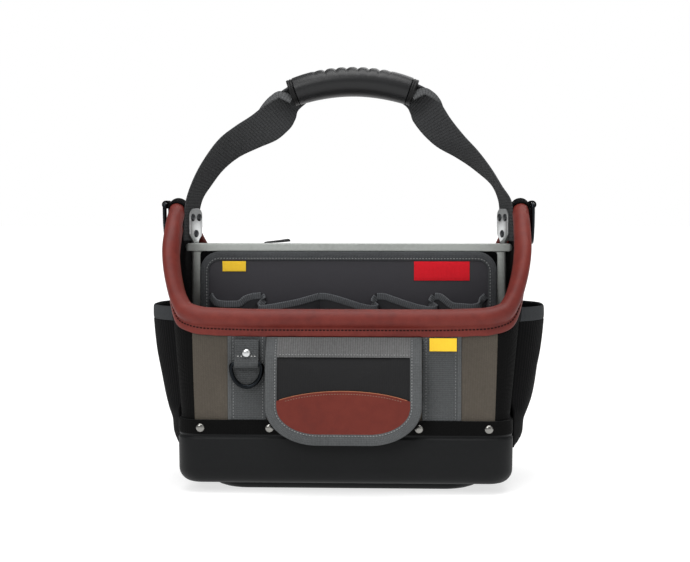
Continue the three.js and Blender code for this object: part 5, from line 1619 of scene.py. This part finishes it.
def add_stage():
    """A broad pale floor, lit a little from within so that its shadow stays faint."""
    corners = [(x * FLOOR_REACH, y * FLOOR_REACH, 0) for x, y in ((-1, -1), (1, -1), (1, 1), (-1, 1))]
    mesh = bpy.data.meshes.new("floor")
    mesh.from_pydata(corners, [], [(0, 1, 2, 3)])
    floor = bpy.data.objects.new("floor", mesh)
    bpy.context.scene.collection.objects.link(floor)
    made, _, shader, _ = material_tree("floor", 0.9, specular=0.0)
    shader.inputs["Base Color"].default_value = (FLOOR_SHADE, FLOOR_SHADE, FLOOR_SHADE, 1)
    shader.inputs["Emission Color"].default_value = (1, 1, 1, 1)
    shader.inputs["Emission Strength"].default_value = FLOOR_GLOW
    mesh.materials.append(made)


def add_light(name, way, strength, spread):
    """A far, wide light that shines from the given way, softened over an angle in degrees."""
    light = bpy.data.lights.new(name, "SUN")
    light.energy = strength
    light.angle = math.radians(spread)
    obj = bpy.data.objects.new(name, light)
    bpy.context.scene.collection.objects.link(obj)
    obj.rotation_euler = Vector(way).to_track_quat("Z", "Y").to_euler()


# From above, a key from the front left, a fill from the right and one from behind: the way to the
# light, its strength and its spread
LIGHTS = [
    ("top", (0, -0.15, 1), 2.3, 50),
    ("key", (-0.5, -1, 0.75), 1.0, 25),
    ("fill", (0.8, -0.8, 0.45), 0.25, 40),
    ("back", (0.3, 1, 0.7), 0.7, 40),
]
WORLD_GLOW = 0.3


def add_lights():
    """Four wide lights, and a plain pale world that looks white behind the tote but lights it less."""
    for light in LIGHTS:
        add_light(*light)
    world = bpy.data.worlds.new("studio")
    bpy.context.scene.world = world
    world.use_nodes = True
    n = Nodes(world.node_tree)
    background = world.node_tree.nodes["Background"]
    background.inputs["Color"].default_value = (1, 1, 1, 1)
    seen = n.add("ShaderNodeLightPath").outputs["Is Camera Ray"]
    n.give(background.inputs["Strength"], n.range(seen, WORLD_GLOW, 1.0))


FRAME_WIDTH = 690
FOCAL_PIXELS = 1568
SENSOR = 36
CAMERA_DISTANCE = 1.6
CAMERA_HEIGHT = 0.277
CAMERA_PLACE = math.radians(2.5)
CAMERA_TURN = math.radians(2.63)
CAMERA_TILT = math.radians(90 - 2.7)


def add_camera():
    """The photograph's view: slightly from the right, level with the tote's upper part."""
    data = bpy.data.cameras.new("camera")
    data.sensor_width = SENSOR
    data.lens = FOCAL_PIXELS / FRAME_WIDTH * SENSOR
    data.clip_end = 50
    camera = bpy.data.objects.new("camera", data)
    bpy.context.scene.collection.objects.link(camera)
    x, y = CAMERA_DISTANCE * math.sin(CAMERA_PLACE), -CAMERA_DISTANCE * math.cos(CAMERA_PLACE)
    camera.location = (x, y, CAMERA_HEIGHT)
    camera.rotation_euler = (CAMERA_TILT, 0, CAMERA_TURN)
    bpy.context.scene.camera = camera
    bpy.context.scene.view_settings.view_transform = "Standard"


add_camera()
add_lights()
add_stage()
add_tub()
add_tub_rivets()
add_walls()
add_corner_webbing()
add_rim()
add_ears()
add_frame()
add_divider()
add_divider_pockets()
add_labels()
add_brackets()
add_grip()
add_straps()
add_front_webbing()
add_ring_loop()
add_flap()
add_pouch()
add_side_pockets()
add_bar_pull()
